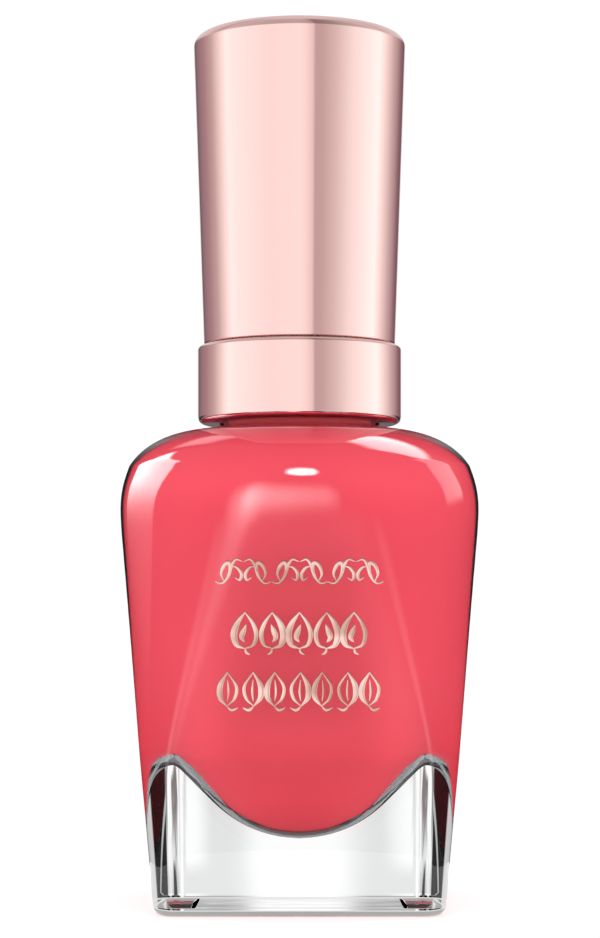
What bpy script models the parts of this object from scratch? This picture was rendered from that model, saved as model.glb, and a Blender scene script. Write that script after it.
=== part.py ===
"""Nail polish bottle with its screw cap and brush, as an assembly of separate pieces.

Frame: metres, +Z up, origin at the middle of the foot, front of the bottle towards -Y.
"""

import math

import bmesh
import bpy
from mathutils import Vector

MM = 0.001

# ---------------------------------------------------------------- clearances
GAP = 0.3 * MM                    # between pieces that touch or nearly touch
THREAD_GAP = 0.3 * MM             # radial play of the screw thread
MERGE = 0.001 * MM

# ---------------------------------------------------------------- glass bottle
BASE_WIDTH = 26.7 * MM            # across the flats at the foot
SHOULDER_WIDTH = 34.2 * MM        # across the flats at the widest height
SHOULDER_HEIGHT = 38.0 * MM       # height of the widest section
SIDE_HOLLOW = 0.13 * MM           # how far the leaning sides bow inwards
FOOT_ROUND = 0.9 * MM             # rounding of the lower edge
FOOT_CORNER = 2.0 * MM            # plan radius of the four corners at the foot
FOOT_EDGE_CORNER = 1.3 * MM       # least plan radius of the corners in the lower edge's rounding
SHOULDER_FLAT = 3.5 * MM          # half-width of the flat that is left at the shoulder
CORNER_OPENS = 13.0 * MM          # height above which the corners grow rounder
CORNER_EASE = 0.12                # how softly the corners start to open; 0 is a kink
SHOULDER_RISE = 7.25 * MM         # widest section to the neck's foot
SHOULDER_FULLNESS = 2.25          # 2 is an ellipse, more is squarer
NECK_BLEND = 1.1 * MM             # hollow radius between shoulder and neck
BEAD_STEP = 0.1 * MM              # support bead's radius over the thread's crest
BEAD_HEIGHT = 1.6 * MM
NECK_HEIGHT = 14.25 * MM          # rim above the shoulder
BORE_RADIUS = 4.0 * MM
RIM_ROUND = 0.35 * MM
RECESS_DEPTH = 0.75 * MM          # push-up under the foot
FOOT_RING = 2.1 * MM              # width of the flat ring that the bottle stands on

# ---------------------------------------------------------------- chamber
FLOOR_THICKNESS = 6.9 * MM        # glass under the lowest point of the chamber
BOWL_RADIUS = 11.3 * MM
BOWL_SPREAD = math.radians(45)    # half-angle of the round part, and slope of the cone above it
CHAMBER_FOOT_WALL = 1.45 * MM     # glass beside the chamber at its foot
CHAMBER_FOOT_ROUND = 3.0 * MM
CHAMBER_TOP_WALL = 3.1 * MM       # glass beside the chamber where its dome starts
DOME_DROP = 1.0 * MM              # start of the dome below the widest section
ROOF_GLASS = 2.05 * MM            # glass over the dome
DOME_FULLNESS = 2.1
BORE_BLEND = 1.2 * MM             # radius between dome and neck bore

# ---------------------------------------------------------------- screw thread
THREAD_PITCH = 2.117 * MM         # twelve turns to the inch
THREAD_TURNS = 1.5
THREAD_CREST = 7.1 * MM           # radius of a standard 15 mm finish
THREAD_DEPTH = 0.65 * MM
THREAD_ROOT_WIDTH = 1.1 * MM
THREAD_CREST_WIDTH = 0.45 * MM
CAP_RIDGE_WIDTH = 0.9 * MM
CAP_RIDGE_CREST_WIDTH = 0.3 * MM
THREAD_BELOW_RIM = 2.7 * MM       # rim to the upper end of the thread
THREAD_SINK = 0.25 * MM           # how deep a ridge is rooted in its wall

# ---------------------------------------------------------------- collar, cap and handle
COLLAR_STEP = 0.59 * MM           # how far the collar stands out from the handle's foot
COLLAR_CLEARANCE = 0.05 * MM      # collar's lip above the neck blend
COLLAR_HEIGHT = 6.7 * MM
COLLAR_WALL = 0.85 * MM
COLLAR_LIP = 0.85 * MM            # thickness of the turned-in lower lip
COLLAR_ROUND = 0.5 * MM
LIP_CLEARANCE = 0.5 * MM          # lip to neck bead
HANDLE_FLARE = 0.97 * MM          # how much wider the handle's top is than its foot, in radius
HANDLE_HEIGHT = 29.6 * MM
HANDLE_WALL = 0.7 * MM
HANDLE_ROOF = 1.0 * MM
HANDLE_TOP_ROUND = 1.0 * MM
HANDLE_FOOT_ROUND = 0.2 * MM
CAP_WALL = 0.83 * MM
CAP_ROOF = 1.2 * MM
CORE_RADIUS = 3.4 * MM
RIB_THICKNESS = 0.9 * MM
RIB_PLATES = 3                    # each plate crosses the core and makes two ribs
RIB_TURN = math.radians(15)       # first plate's turn from the X axis

# ---------------------------------------------------------------- seal and brush
SEAL_THICKNESS = 1.0 * MM
STEM_RADIUS = 1.75 * MM
STEM_WAIST = 1.5 * MM
STEM_HEAD_RADIUS = 2.0 * MM
STEM_HEAD_LENGTH = 8.1 * MM
STEM_EDGE = 0.3 * MM              # chamfer at both ends of the stem
FLANGE_RADIUS = 5.0 * MM
FLANGE_THICKNESS = 0.6 * MM
SOCKET_RADIUS = 1.25 * MM         # hole in the stem's end that holds the hair
SOCKET_DEPTH = 5.5 * MM
TUFT_LENGTH = 11.9 * MM           # hair that shows below the stem
TUFT_HALF_WIDTH = 1.9 * MM
TUFT_HALF_DEPTH = 1.15 * MM
TUFT_SHAPE = (                    # share of the length below the stem, of the half-width, of the half-depth
    (0.3, 0.75, 0.95), (0.65, 1.0, 1.0), (0.85, 0.97, 0.9), (0.96, 0.72, 0.62), (1.0, 0.3, 0.3),
)
STAPLE_HEIGHT = 0.8 * MM
STAPLE_THICKNESS = 0.35 * MM

# ---------------------------------------------------------------- contents
FILL_BELOW_RIM = 9.5 * MM
BALL_RADIUS = 1.985 * MM          # 5/32 inch agitator balls
TIP_CLEARANCE = 0.3 * MM          # hair above the balls' pocket

# ---------------------------------------------------------------- foil and label
FOIL_THICKNESS = 0.25 * MM
FOIL_STEM = 0.22 * MM             # half-height of a row where it is thinnest
FOIL_FADE = 6                     # power by which the leaves shrink near the ends of a row
LABEL_MARGIN = 2.35 * MM          # sticker's edge to the push-up's edge
LABEL_THICKNESS = 0.2 * MM
FOIL_ROWS = {                     # row: drop below the widest section, half-length, half-height, leaves
    "foil_vine": (6.6 * MM, 7.2 * MM, 1.5 * MM, 8),
    "foil_buds": (12.0 * MM, 6.2 * MM, 2.2 * MM, 5),
    "foil_leaves": (17.1 * MM, 7.3 * MM, 2.0 * MM, 7),
}

# ---------------------------------------------------------------- fineness
CORNER_STEPS = 8                  # segments in each corner of a ring
SIDE_ROWS = 9                     # rings up the leaning sides
SHOULDER_ROWS = 10
ROUND = 32                        # segments round a turned piece
HANDLE_SEGMENTS = 48
STEM_SEGMENTS = 20
THREAD_SEGMENTS = 32              # to one turn of a ridge
THREAD_RUN_OUT = 4                # segments over which a ridge sinks away at each end
THREAD_LEAST = 0.1                # share of its height that a ridge keeps at its end
TUFT_SEGMENTS = 16
LEAF_COLUMNS = 6                  # to one leaf
SHARP_ANGLE = math.radians(35)

# ---------------------------------------------------------------- derived radii
THREAD_ROOT = THREAD_CREST - THREAD_DEPTH
NECK_RADIUS = THREAD_CREST + BEAD_STEP
CAP_BORE = THREAD_CREST + THREAD_GAP
CAP_BODY_RADIUS = CAP_BORE + CAP_WALL
HANDLE_BOTTOM_RADIUS = CAP_BODY_RADIUS + GAP + HANDLE_WALL
HANDLE_TOP_RADIUS = HANDLE_BOTTOM_RADIUS + HANDLE_FLARE
COLLAR_RADIUS = HANDLE_BOTTOM_RADIUS + COLLAR_STEP
SKIRT_RADIUS = COLLAR_RADIUS - COLLAR_WALL - GAP
RECESS_HALF = BASE_WIDTH / 2 - FOOT_ROUND - FOOT_RING
LABEL_RADIUS = RECESS_HALF - LABEL_MARGIN
CHAMBER_TOP_RADIUS = SHOULDER_WIDTH / 2 - CHAMBER_TOP_WALL
WELL_RADIUS = max(STEM_RADIUS, TUFT_HALF_WIDTH) + GAP
BALL_ORBIT = BALL_RADIUS + GAP    # distance of each ball's centre from the axis
POCKET_RADIUS = BALL_ORBIT + BALL_RADIUS + GAP

# ---------------------------------------------------------------- derived heights
SHOULDER_TOP = SHOULDER_HEIGHT + SHOULDER_RISE
RIM_HEIGHT = SHOULDER_TOP + NECK_HEIGHT
FILL_HEIGHT = RIM_HEIGHT - FILL_BELOW_RIM
CHAMBER_TOP_HEIGHT = SHOULDER_HEIGHT - DOME_DROP
DOME_TOP = SHOULDER_TOP - ROOF_GLASS
SEAL_BOTTOM = RIM_HEIGHT + GAP
FLANGE_BOTTOM = SEAL_BOTTOM + SEAL_THICKNESS + GAP
STEM_TOP = FLANGE_BOTTOM + FLANGE_THICKNESS + STEM_HEAD_LENGTH
CAP_CEILING = FLANGE_BOTTOM + FLANGE_THICKNESS + GAP
CAP_TOP = CAP_CEILING + CAP_ROOF
COLLAR_BOTTOM = SHOULDER_TOP + NECK_BLEND + COLLAR_CLEARANCE
COLLAR_TOP = COLLAR_BOTTOM + COLLAR_HEIGHT
HANDLE_BOTTOM = COLLAR_TOP + GAP
HANDLE_TOP = HANDLE_BOTTOM + HANDLE_HEIGHT
CORE_TOP = HANDLE_TOP - HANDLE_ROOF - 2 * GAP
BALL_HEIGHT = FLOOR_THICKNESS + BOWL_RADIUS - math.sqrt(
    (BOWL_RADIUS - BALL_RADIUS - GAP) ** 2 - BALL_ORBIT ** 2
)
POCKET_TOP = BALL_HEIGHT + BALL_RADIUS + GAP
TUFT_BOTTOM = POCKET_TOP + TIP_CLEARANCE
STEM_BOTTOM = TUFT_BOTTOM + TUFT_LENGTH
SOCKET_TOP = STEM_BOTTOM + SOCKET_DEPTH


# ================================================================ tools
def clear_scene():
    """Remove every object that the file started with."""
    for old in list(bpy.data.objects):
        bpy.data.objects.remove(old)


def material(name, color, roughness, metallic=0.0, transmission=0.0):
    """A Principled material with the piece's own colour and finish."""
    mat = bpy.data.materials.new(name)
    mat.use_nodes = True
    shader = mat.node_tree.nodes["Principled BSDF"]
    shader.inputs["Base Color"].default_value = (*color, 1.0)
    shader.inputs["Roughness"].default_value = roughness
    shader.inputs["Metallic"].default_value = metallic
    shader.inputs["Transmission Weight"].default_value = transmission
    mat.diffuse_color = (*color, 1.0)
    return mat


def add_object(name, bm, mat=None):
    """Turn a bmesh into a named object with clean outward faces."""
    bmesh.ops.remove_doubles(bm, verts=bm.verts, dist=MERGE)
    bmesh.ops.recalc_face_normals(bm, faces=bm.faces)
    mesh = bpy.data.meshes.new(name)
    bm.to_mesh(mesh)
    bm.free()
    mesh.shade_smooth()
    mesh.set_sharp_from_angle(angle=SHARP_ANGLE)
    obj = bpy.data.objects.new(name, mesh)
    bpy.context.collection.objects.link(obj)
    if mat:
        mesh.materials.append(mat)
    return obj


def as_cutter(obj):
    """Hide an object that only shapes another one."""
    obj.hide_render = True
    obj.display_type = "WIRE"
    return obj


def boolean(obj, cutter, operation):
    """Join or cut an object with a hidden helper."""
    modifier = obj.modifiers.new(f"{operation.lower()}_{cutter.name}", "BOOLEAN")
    modifier.operation = operation
    modifier.solver = "EXACT"
    modifier.object = as_cutter(cutter)


def turned(name, profile, mat=None, segments=ROUND):
    """Turn a profile of (radius, height) points about Z; it closes on the axis or on itself."""
    bm = bmesh.new()
    points = [bm.verts.new((radius, 0.0, height)) for radius, height in profile]
    edges = [bm.edges.new(pair) for pair in zip(points, points[1:])]
    on_axis = profile[0][0] < MERGE and profile[-1][0] < MERGE
    if not on_axis:
        edges.append(bm.edges.new((points[-1], points[0])))
    bmesh.ops.spin(bm, geom=points + edges, cent=(0, 0, 0), axis=(0, 0, 1),
                   angle=math.tau, steps=segments, use_merge=True)
    return add_object(name, bm, mat)


def loft(name, rings, mat=None):
    """Skin a list of rings with equal numbers of points, closed by a face at each end."""
    bm = bmesh.new()
    loops = [[bm.verts.new(point) for point in ring] for ring in rings]
    for lower, upper in zip(loops, loops[1:]):
        for i in range(len(lower)):
            j = (i + 1) % len(lower)
            bm.faces.new((lower[i], lower[j], upper[j], upper[i]))
    bm.faces.new(loops[0])
    bm.faces.new(loops[-1])
    return add_object(name, bm, mat)


def arc(centre, radius, start, end, steps):
    """Points of an arc in the (radius, height) plane, angles in degrees, both ends included."""
    angles = [math.radians(start + (end - start) * i / steps) for i in range(steps + 1)]
    return [(centre[0] + radius * math.cos(a), centre[1] + radius * math.sin(a)) for a in angles]


def superellipse(centre, across, up, fullness, steps):
    """Quarter of a superellipse, from its widest point to its top, in (radius, height)."""
    points = []
    for i in range(steps + 1):
        a = math.pi / 2 * i / steps
        points.append((centre[0] + across * max(math.cos(a), 0.0) ** (2 / fullness),
                       centre[1] + up * math.sin(a) ** (2 / fullness)))
    return points


def inset_profile(profile, distance):
    """Move an open profile towards its inner side, square to its own direction."""
    moved = []
    for i, (radius, height) in enumerate(profile):
        before, after = profile[max(i - 1, 0)], profile[min(i + 1, len(profile) - 1)]
        along = Vector((after[0] - before[0], after[1] - before[1])).normalized()
        moved.append((max(radius - along.y * distance, 0.0), height + along.x * distance))
    return moved


# ================================================================ bottle shape
def side_half_width(height):
    """Half the bottle's width across the flats, below the shoulder."""
    t = height / SHOULDER_HEIGHT
    straight = (BASE_WIDTH * (1 - t) + SHOULDER_WIDTH * t) / 2
    return straight - SIDE_HOLLOW * 4 * t * (1 - t)


def side_flat(height):
    """Half the width of the flat in the middle of each side."""
    foot_flat = BASE_WIDTH / 2 - FOOT_CORNER
    t = max(height - CORNER_OPENS, 0.0) / (SHOULDER_HEIGHT - CORNER_OPENS)
    ease = t * t * (1 + CORNER_EASE) / (t + CORNER_EASE)
    return foot_flat + (SHOULDER_FLAT - foot_flat) * ease


def ring(half, flat, height):
    """Rounded square with the given half-width and half-flat; no flat makes it a circle."""
    points = []
    for quarter, (sx, sy) in enumerate(((1, 1), (-1, 1), (-1, -1), (1, -1))):
        for i in range(CORNER_STEPS + 1):
            a = math.radians(90 * (quarter + i / CORNER_STEPS))
            reach = half - flat
            points.append((sx * flat + reach * math.cos(a), sy * flat + reach * math.sin(a), height))
    return points


def front_depth(x, height):
    """Distance of the front face from the axis at a sideways place and a height."""
    half, flat = side_half_width(height), side_flat(height)
    corner = half - flat
    beyond = min(max(abs(x) - flat, 0.0), corner)
    return flat + math.sqrt(corner ** 2 - beyond ** 2)


def outer_rings():
    """Rings from the push-up's roof, round the foot, up the sides, over shoulder and neck to the rim."""
    foot_flat = side_flat(0)
    recess_flat = foot_flat - FOOT_RING
    rings = [ring(RECESS_HALF - GAP, recess_flat - GAP, RECESS_DEPTH), ring(RECESS_HALF, recess_flat, 0.0)]
    for across, height in arc((0.0, FOOT_ROUND), FOOT_ROUND, -90, -30, 3):
        half = side_half_width(height) - FOOT_ROUND + across
        rings.append(ring(half, min(foot_flat, half - FOOT_EDGE_CORNER), height))
    for i in range(SIDE_ROWS):
        height = FOOT_ROUND + (SHOULDER_HEIGHT - FOOT_ROUND) * i / SIDE_ROWS
        rings.append(ring(side_half_width(height), side_flat(height), height))
    neck_start = NECK_RADIUS + NECK_BLEND
    shoulder = superellipse((neck_start, SHOULDER_HEIGHT), SHOULDER_WIDTH / 2 - neck_start,
                            SHOULDER_RISE, SHOULDER_FULLNESS, SHOULDER_ROWS)
    for half, height in shoulder:
        rise = (height - SHOULDER_HEIGHT) / SHOULDER_RISE
        rings.append(ring(half, SHOULDER_FLAT * (1 - rise ** 2), height))
    for half, height in neck_profile():
        rings.append(ring(half, 0.0, height))
    return rings


def neck_profile():
    """Outside of the neck from the shoulder's blend to the middle of the rim."""
    bead_bottom = SHOULDER_TOP + NECK_BLEND
    bead_top = bead_bottom + BEAD_HEIGHT
    profile = arc((NECK_RADIUS + NECK_BLEND, bead_bottom), NECK_BLEND, 270, 180, 3)[1:]
    profile += [(NECK_RADIUS, bead_top), (THREAD_ROOT, bead_top + THREAD_DEPTH)]
    profile += arc((THREAD_ROOT - RIM_ROUND, RIM_HEIGHT - RIM_ROUND), RIM_ROUND, 0, 90, 2)
    return profile


def chamber_profile():
    """Chamber wall from the middle of its floor, up the side and over the dome into the bore."""
    bowl_centre = FLOOR_THICKNESS + BOWL_RADIUS
    spread = math.degrees(BOWL_SPREAD)
    profile = arc((0.0, bowl_centre), BOWL_RADIUS, -90, -90 + spread, 5)
    profile[0] = (0.0, FLOOR_THICKNESS)
    cone_r, cone_z = profile[-1]
    foot_radius = side_half_width(cone_z) - CHAMBER_FOOT_WALL
    centre_r = foot_radius - CHAMBER_FOOT_ROUND
    touch_r = centre_r + CHAMBER_FOOT_ROUND * math.sin(BOWL_SPREAD)
    touch_z = cone_z + (touch_r - cone_r) * math.tan(BOWL_SPREAD)
    centre_z = touch_z + CHAMBER_FOOT_ROUND * math.cos(BOWL_SPREAD)
    profile += arc((centre_r, centre_z), CHAMBER_FOOT_ROUND, -90 + spread, 0, 3)
    bore_edge = BORE_RADIUS + BORE_BLEND
    profile += superellipse((bore_edge, CHAMBER_TOP_HEIGHT), CHAMBER_TOP_RADIUS - bore_edge,
                            DOME_TOP - CHAMBER_TOP_HEIGHT, DOME_FULLNESS, 7)
    profile += arc((bore_edge, DOME_TOP + BORE_BLEND), BORE_BLEND, 270, 180, 3)[1:]
    return profile


def thread_ridge(name, wall, crest, wall_width, crest_width, middle_height):
    """A helical ridge with run-outs, rising anticlockwise about Z; it is rooted inside its wall."""
    steps = round(THREAD_TURNS * THREAD_SEGMENTS)
    outwards = 1 if crest > wall else -1
    root = wall - outwards * THREAD_SINK
    rings = []
    for i in range(steps + 1):
        a = math.tau * (i + 0.5) / THREAD_SEGMENTS
        height = middle_height + THREAD_PITCH * (i / THREAD_SEGMENTS - THREAD_TURNS / 2)
        grown = min(i, steps - i, THREAD_RUN_OUT) / THREAD_RUN_OUT
        tip = wall + (crest - wall) * max(grown, THREAD_LEAST)
        section = ((root, -wall_width / 2), (root, wall_width / 2),
                   (tip, crest_width / 2), (tip, -crest_width / 2))
        rings.append([(r * math.cos(a), r * math.sin(a), height + dz) for r, dz in section])
    return loft(name, rings)


# ================================================================ pieces
def make_glass_bottle(mat):
    """Thick glass bottle, open only at the mouth, with the thread round its neck."""
    rings = outer_rings()
    inside = [(BORE_RADIUS + RIM_ROUND, RIM_HEIGHT), (BORE_RADIUS, RIM_HEIGHT - RIM_ROUND)]
    inside += list(reversed(chamber_profile()))
    rings += [ring(radius, 0.0, height) for radius, height in inside]
    bottle = loft("glass_bottle", rings, mat)
    ridge_height = RIM_HEIGHT - THREAD_BELOW_RIM - THREAD_PITCH * THREAD_TURNS / 2
    ridge = thread_ridge("neck_thread", THREAD_ROOT, THREAD_CREST, THREAD_ROOT_WIDTH,
                         THREAD_CREST_WIDTH, ridge_height)
    boolean(bottle, ridge, "UNION")


def make_nail_polish(mat):
    """Lacquer up to the neck, with a well for the brush and a pocket for the two balls."""
    wall = inset_profile(chamber_profile(), GAP)
    floor = FLOOR_THICKNESS + BOWL_RADIUS - math.sqrt((BOWL_RADIUS - GAP) ** 2 - POCKET_RADIUS ** 2)
    profile = [(POCKET_RADIUS, floor)]
    profile += [point for point in wall if point[0] > POCKET_RADIUS or point[1] > CHAMBER_TOP_HEIGHT]
    profile += [(BORE_RADIUS - GAP, FILL_HEIGHT), (WELL_RADIUS, FILL_HEIGHT)]
    profile += [(WELL_RADIUS, POCKET_TOP), (POCKET_RADIUS, POCKET_TOP)]
    turned("nail_polish", profile, mat)


def make_mixing_balls(mat):
    """Two agitator balls opposite each other on the chamber's floor, under one pivot on the axis."""
    pivot = bpy.data.objects.new("ball_track", None)
    bpy.context.collection.objects.link(pivot)
    for i, side in enumerate((1, -1), start=1):
        bm = bmesh.new()
        bmesh.ops.create_uvsphere(bm, u_segments=16, v_segments=10, radius=BALL_RADIUS)
        ball = add_object(f"mixing_ball_{i}", bm, mat)
        ball.location = (side * BALL_ORBIT, 0.0, BALL_HEIGHT)
        ball.parent = pivot


def make_collar_ring(mat):
    """Ring round the cap's skirt, turned in under it at the bottom."""
    inner = COLLAR_RADIUS - COLLAR_WALL
    lip = NECK_RADIUS + LIP_CLEARANCE
    rounding = COLLAR_ROUND
    profile = [(lip, COLLAR_BOTTOM)]
    profile += arc((COLLAR_RADIUS - rounding, COLLAR_BOTTOM + rounding), rounding, -90, 0, 3)
    profile += arc((COLLAR_RADIUS - rounding, COLLAR_TOP - rounding), rounding, 0, 90, 3)
    profile += [(inner, COLLAR_TOP), (inner, COLLAR_BOTTOM + COLLAR_LIP), (lip, COLLAR_BOTTOM + COLLAR_LIP)]
    turned("collar_ring", profile, mat, HANDLE_SEGMENTS)


def handle_radius(height):
    """Outer radius of the tapered handle."""
    t = (height - HANDLE_BOTTOM) / HANDLE_HEIGHT
    return HANDLE_BOTTOM_RADIUS + (HANDLE_TOP_RADIUS - HANDLE_BOTTOM_RADIUS) * t


def make_cap_handle(mat):
    """Tapered shell with a flat roof and a rounded top edge, open at the bottom."""
    foot, top = HANDLE_FOOT_ROUND, HANDLE_TOP_ROUND
    ceiling = HANDLE_TOP - HANDLE_ROOF
    profile = [(0.0, HANDLE_TOP)]
    profile += reversed(arc((HANDLE_TOP_RADIUS - top, HANDLE_TOP - top), top, 0, 90, 4))
    profile += [(HANDLE_BOTTOM_RADIUS, HANDLE_BOTTOM + foot), (HANDLE_BOTTOM_RADIUS - foot, HANDLE_BOTTOM)]
    profile += [(HANDLE_BOTTOM_RADIUS - HANDLE_WALL, HANDLE_BOTTOM)]
    profile += [(handle_radius(ceiling) - HANDLE_WALL, ceiling), (0.0, ceiling)]
    turned("cap_handle", profile, mat, HANDLE_SEGMENTS)


def make_inner_cap(mat):
    """Screw closure: threaded skirt, roof, and a ribbed core that carries the handle."""
    skirt_bottom = COLLAR_BOTTOM + COLLAR_LIP + GAP
    profile = [
        (0.0, CORE_TOP), (CORE_RADIUS, CORE_TOP), (CORE_RADIUS, CAP_TOP), (CAP_BODY_RADIUS, CAP_TOP),
        (CAP_BODY_RADIUS, COLLAR_TOP), (SKIRT_RADIUS, COLLAR_TOP), (SKIRT_RADIUS, skirt_bottom),
        (CAP_BORE, skirt_bottom), (CAP_BORE, CAP_CEILING), (0.0, CAP_CEILING),
    ]
    cap = turned("inner_cap", profile, mat)

    rib_bottom = CAP_TOP - CAP_ROOF / 2
    low = handle_radius(rib_bottom) - HANDLE_WALL - GAP
    high = handle_radius(CORE_TOP) - HANDLE_WALL - GAP
    for i in range(RIB_PLATES):
        half = RIB_THICKNESS / 2
        plate = loft(f"rib_plate_{i}", [
            [(x, y, height) for x, y in ((-reach, -half), (reach, -half), (reach, half), (-reach, half))]
            for height, reach in ((rib_bottom, low - half), (CORE_TOP - GAP, high - half))
        ])
        plate.rotation_euler = (0.0, 0.0, RIB_TURN + math.pi * i / RIB_PLATES)
        boolean(cap, plate, "UNION")

    ridge_height = RIM_HEIGHT - THREAD_BELOW_RIM - THREAD_PITCH * (THREAD_TURNS + 1) / 2
    ridge = thread_ridge("cap_thread", CAP_BORE, THREAD_ROOT + THREAD_GAP, CAP_RIDGE_WIDTH,
                         CAP_RIDGE_CREST_WIDTH, ridge_height)
    boolean(cap, ridge, "UNION")

    socket_radius, socket_end = STEM_HEAD_RADIUS + GAP, STEM_TOP + GAP
    socket = turned("stem_socket", [(0.0, socket_end), (socket_radius, socket_end),
                                    (socket_radius, FLANGE_BOTTOM), (0.0, FLANGE_BOTTOM)])
    boolean(cap, socket, "DIFFERENCE")


def make_seal_washer(mat):
    """Soft liner that closes the mouth round the stem."""
    inner, outer = STEM_RADIUS + GAP, THREAD_CREST - GAP
    top = SEAL_BOTTOM + SEAL_THICKNESS
    turned("seal_washer", [(inner, SEAL_BOTTOM), (outer, SEAL_BOTTOM), (outer, top), (inner, top)], mat)


def make_brush_stem(mat):
    """Rod with a head held in the cap, a flange over the seal and a socket for the hair."""
    flange_top = FLANGE_BOTTOM + FLANGE_THICKNESS
    edge = STEM_EDGE
    waist_height = STEM_BOTTOM + 2 * SOCKET_DEPTH
    profile = [
        (0.0, STEM_TOP), (STEM_HEAD_RADIUS - edge, STEM_TOP), (STEM_HEAD_RADIUS, STEM_TOP - edge),
        (STEM_HEAD_RADIUS, flange_top), (FLANGE_RADIUS, flange_top), (FLANGE_RADIUS, FLANGE_BOTTOM),
        (STEM_RADIUS, FLANGE_BOTTOM), (STEM_WAIST, waist_height),
        (STEM_RADIUS, STEM_BOTTOM + SOCKET_DEPTH), (STEM_RADIUS, STEM_BOTTOM + edge),
        (STEM_RADIUS - edge, STEM_BOTTOM), (SOCKET_RADIUS, STEM_BOTTOM),
        (SOCKET_RADIUS, SOCKET_TOP), (0.0, SOCKET_TOP),
    ]
    turned("brush_stem", profile, mat, STEM_SEGMENTS)


def make_bristle_staple(mat):
    """Small flat anchor across the top of the hair socket."""
    half_width = SOCKET_RADIUS - GAP
    top = SOCKET_TOP - GAP
    bm = bmesh.new()
    bmesh.ops.create_cube(bm, size=1.0)
    bmesh.ops.scale(bm, vec=(2 * half_width, STAPLE_THICKNESS, STAPLE_HEIGHT), verts=bm.verts)
    bmesh.ops.translate(bm, vec=(0.0, 0.0, top - STAPLE_HEIGHT / 2), verts=bm.verts)
    add_object("bristle_staple", bm, mat)


def make_bristle_tuft(mat):
    """The bundle of hair: round in the socket, flat and fuller below, with a rounded tip."""
    root = SOCKET_RADIUS - GAP
    root_top = SOCKET_TOP - 2 * GAP - STAPLE_HEIGHT
    rows = [(root_top, root, root), (STEM_BOTTOM - GAP, root, root)]
    for down, width, depth in TUFT_SHAPE:
        height = STEM_BOTTOM - TUFT_LENGTH * down
        rows.append((height, TUFT_HALF_WIDTH * width, TUFT_HALF_DEPTH * depth))
    angles = [math.tau * i / TUFT_SEGMENTS for i in range(TUFT_SEGMENTS)]
    loft("bristle_tuft", [
        [(across * math.cos(a), deep * math.sin(a), height) for a in angles]
        for height, across, deep in rows
    ], mat)


def make_foil_row(name, mat):
    """A row of leaves on the front face: a strip that swells at each leaf and follows the glass."""
    drop, half_length, half_height, leaves = FOIL_ROWS[name]
    middle = SHOULDER_HEIGHT - drop
    columns = leaves * LEAF_COLUMNS
    rings = []
    for i in range(columns + 1):
        u = i / columns
        x = half_length * (2 * u - 1)
        fade = math.sqrt(max(1 - (2 * u - 1) ** FOIL_FADE, 0.0))
        swell = abs(math.sin(math.pi * leaves * u))
        reach = FOIL_STEM + (half_height - FOIL_STEM) * fade * swell
        section = []
        low, high, front = middle - reach, middle + reach, GAP + FOIL_THICKNESS
        for height, lift in ((low, GAP), (high, GAP), (high, front), (low, front)):
            section.append((x, -front_depth(x, height) - lift, height))
        rings.append(section)
    loft(name, rings, mat)


def make_base_label(mat):
    """Blank round sticker under the push-up's roof."""
    top = RECESS_DEPTH - GAP
    bottom = top - LABEL_THICKNESS
    turned("base_label", [(0.0, top), (LABEL_RADIUS, top), (LABEL_RADIUS, bottom), (0.0, bottom)], mat)


def build():
    """Make every piece with its own material."""
    clear_scene()
    rose_gold = material("rose_gold", (0.86, 0.62, 0.58), 0.16, metallic=1.0)
    foil = material("foil", (0.90, 0.62, 0.55), 0.25, metallic=1.0)
    steel = material("steel", (0.62, 0.62, 0.62), 0.2, metallic=1.0)
    black = material("black_plastic", (0.02, 0.02, 0.022), 0.35)

    make_glass_bottle(material("clear_glass", (0.97, 0.985, 0.98), 0.02, transmission=1.0))
    make_nail_polish(material("coral_lacquer", (0.86, 0.09, 0.12), 0.15))
    make_mixing_balls(steel)
    make_collar_ring(rose_gold)
    make_cap_handle(rose_gold)
    make_inner_cap(material("cap_plastic", (0.85, 0.83, 0.80), 0.4))
    make_seal_washer(material("seal_foam", (0.9, 0.9, 0.88), 0.7))
    make_brush_stem(black)
    make_bristle_staple(steel)
    make_bristle_tuft(material("brush_hair", (0.03, 0.03, 0.03), 0.5))
    for row in FOIL_ROWS:
        make_foil_row(row, foil)
    make_base_label(material("label_paper", (0.9, 0.9, 0.9), 0.6))


build()
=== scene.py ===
"""Looks for the nail polish bottle: finishes, fine meshes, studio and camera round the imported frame."""

from __future__ import annotations

import logging
import math
from dataclasses import dataclass
from enum import Enum
from typing import Iterable, Sequence

import bmesh
import bpy
import numpy as np
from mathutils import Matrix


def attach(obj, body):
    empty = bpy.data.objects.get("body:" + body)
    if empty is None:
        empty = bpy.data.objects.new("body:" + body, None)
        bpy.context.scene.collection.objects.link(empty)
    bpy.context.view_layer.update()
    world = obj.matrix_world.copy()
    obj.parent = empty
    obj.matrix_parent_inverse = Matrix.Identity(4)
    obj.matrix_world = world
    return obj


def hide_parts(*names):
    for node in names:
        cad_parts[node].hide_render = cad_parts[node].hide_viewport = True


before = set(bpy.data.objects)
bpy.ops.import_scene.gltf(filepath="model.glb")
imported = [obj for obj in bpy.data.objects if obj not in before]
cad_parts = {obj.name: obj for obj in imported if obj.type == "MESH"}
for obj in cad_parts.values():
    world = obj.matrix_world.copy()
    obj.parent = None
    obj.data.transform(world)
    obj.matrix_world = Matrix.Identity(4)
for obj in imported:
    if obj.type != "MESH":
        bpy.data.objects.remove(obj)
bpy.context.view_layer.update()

MM = 0.001
MERGE_DISTANCE = 0.0004 * MM
ON_AXIS = 1e-7
LOG = logging.getLogger("nail_polish_bottle")

Row = tuple[float, float]
Color = tuple[float, float, float]


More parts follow.
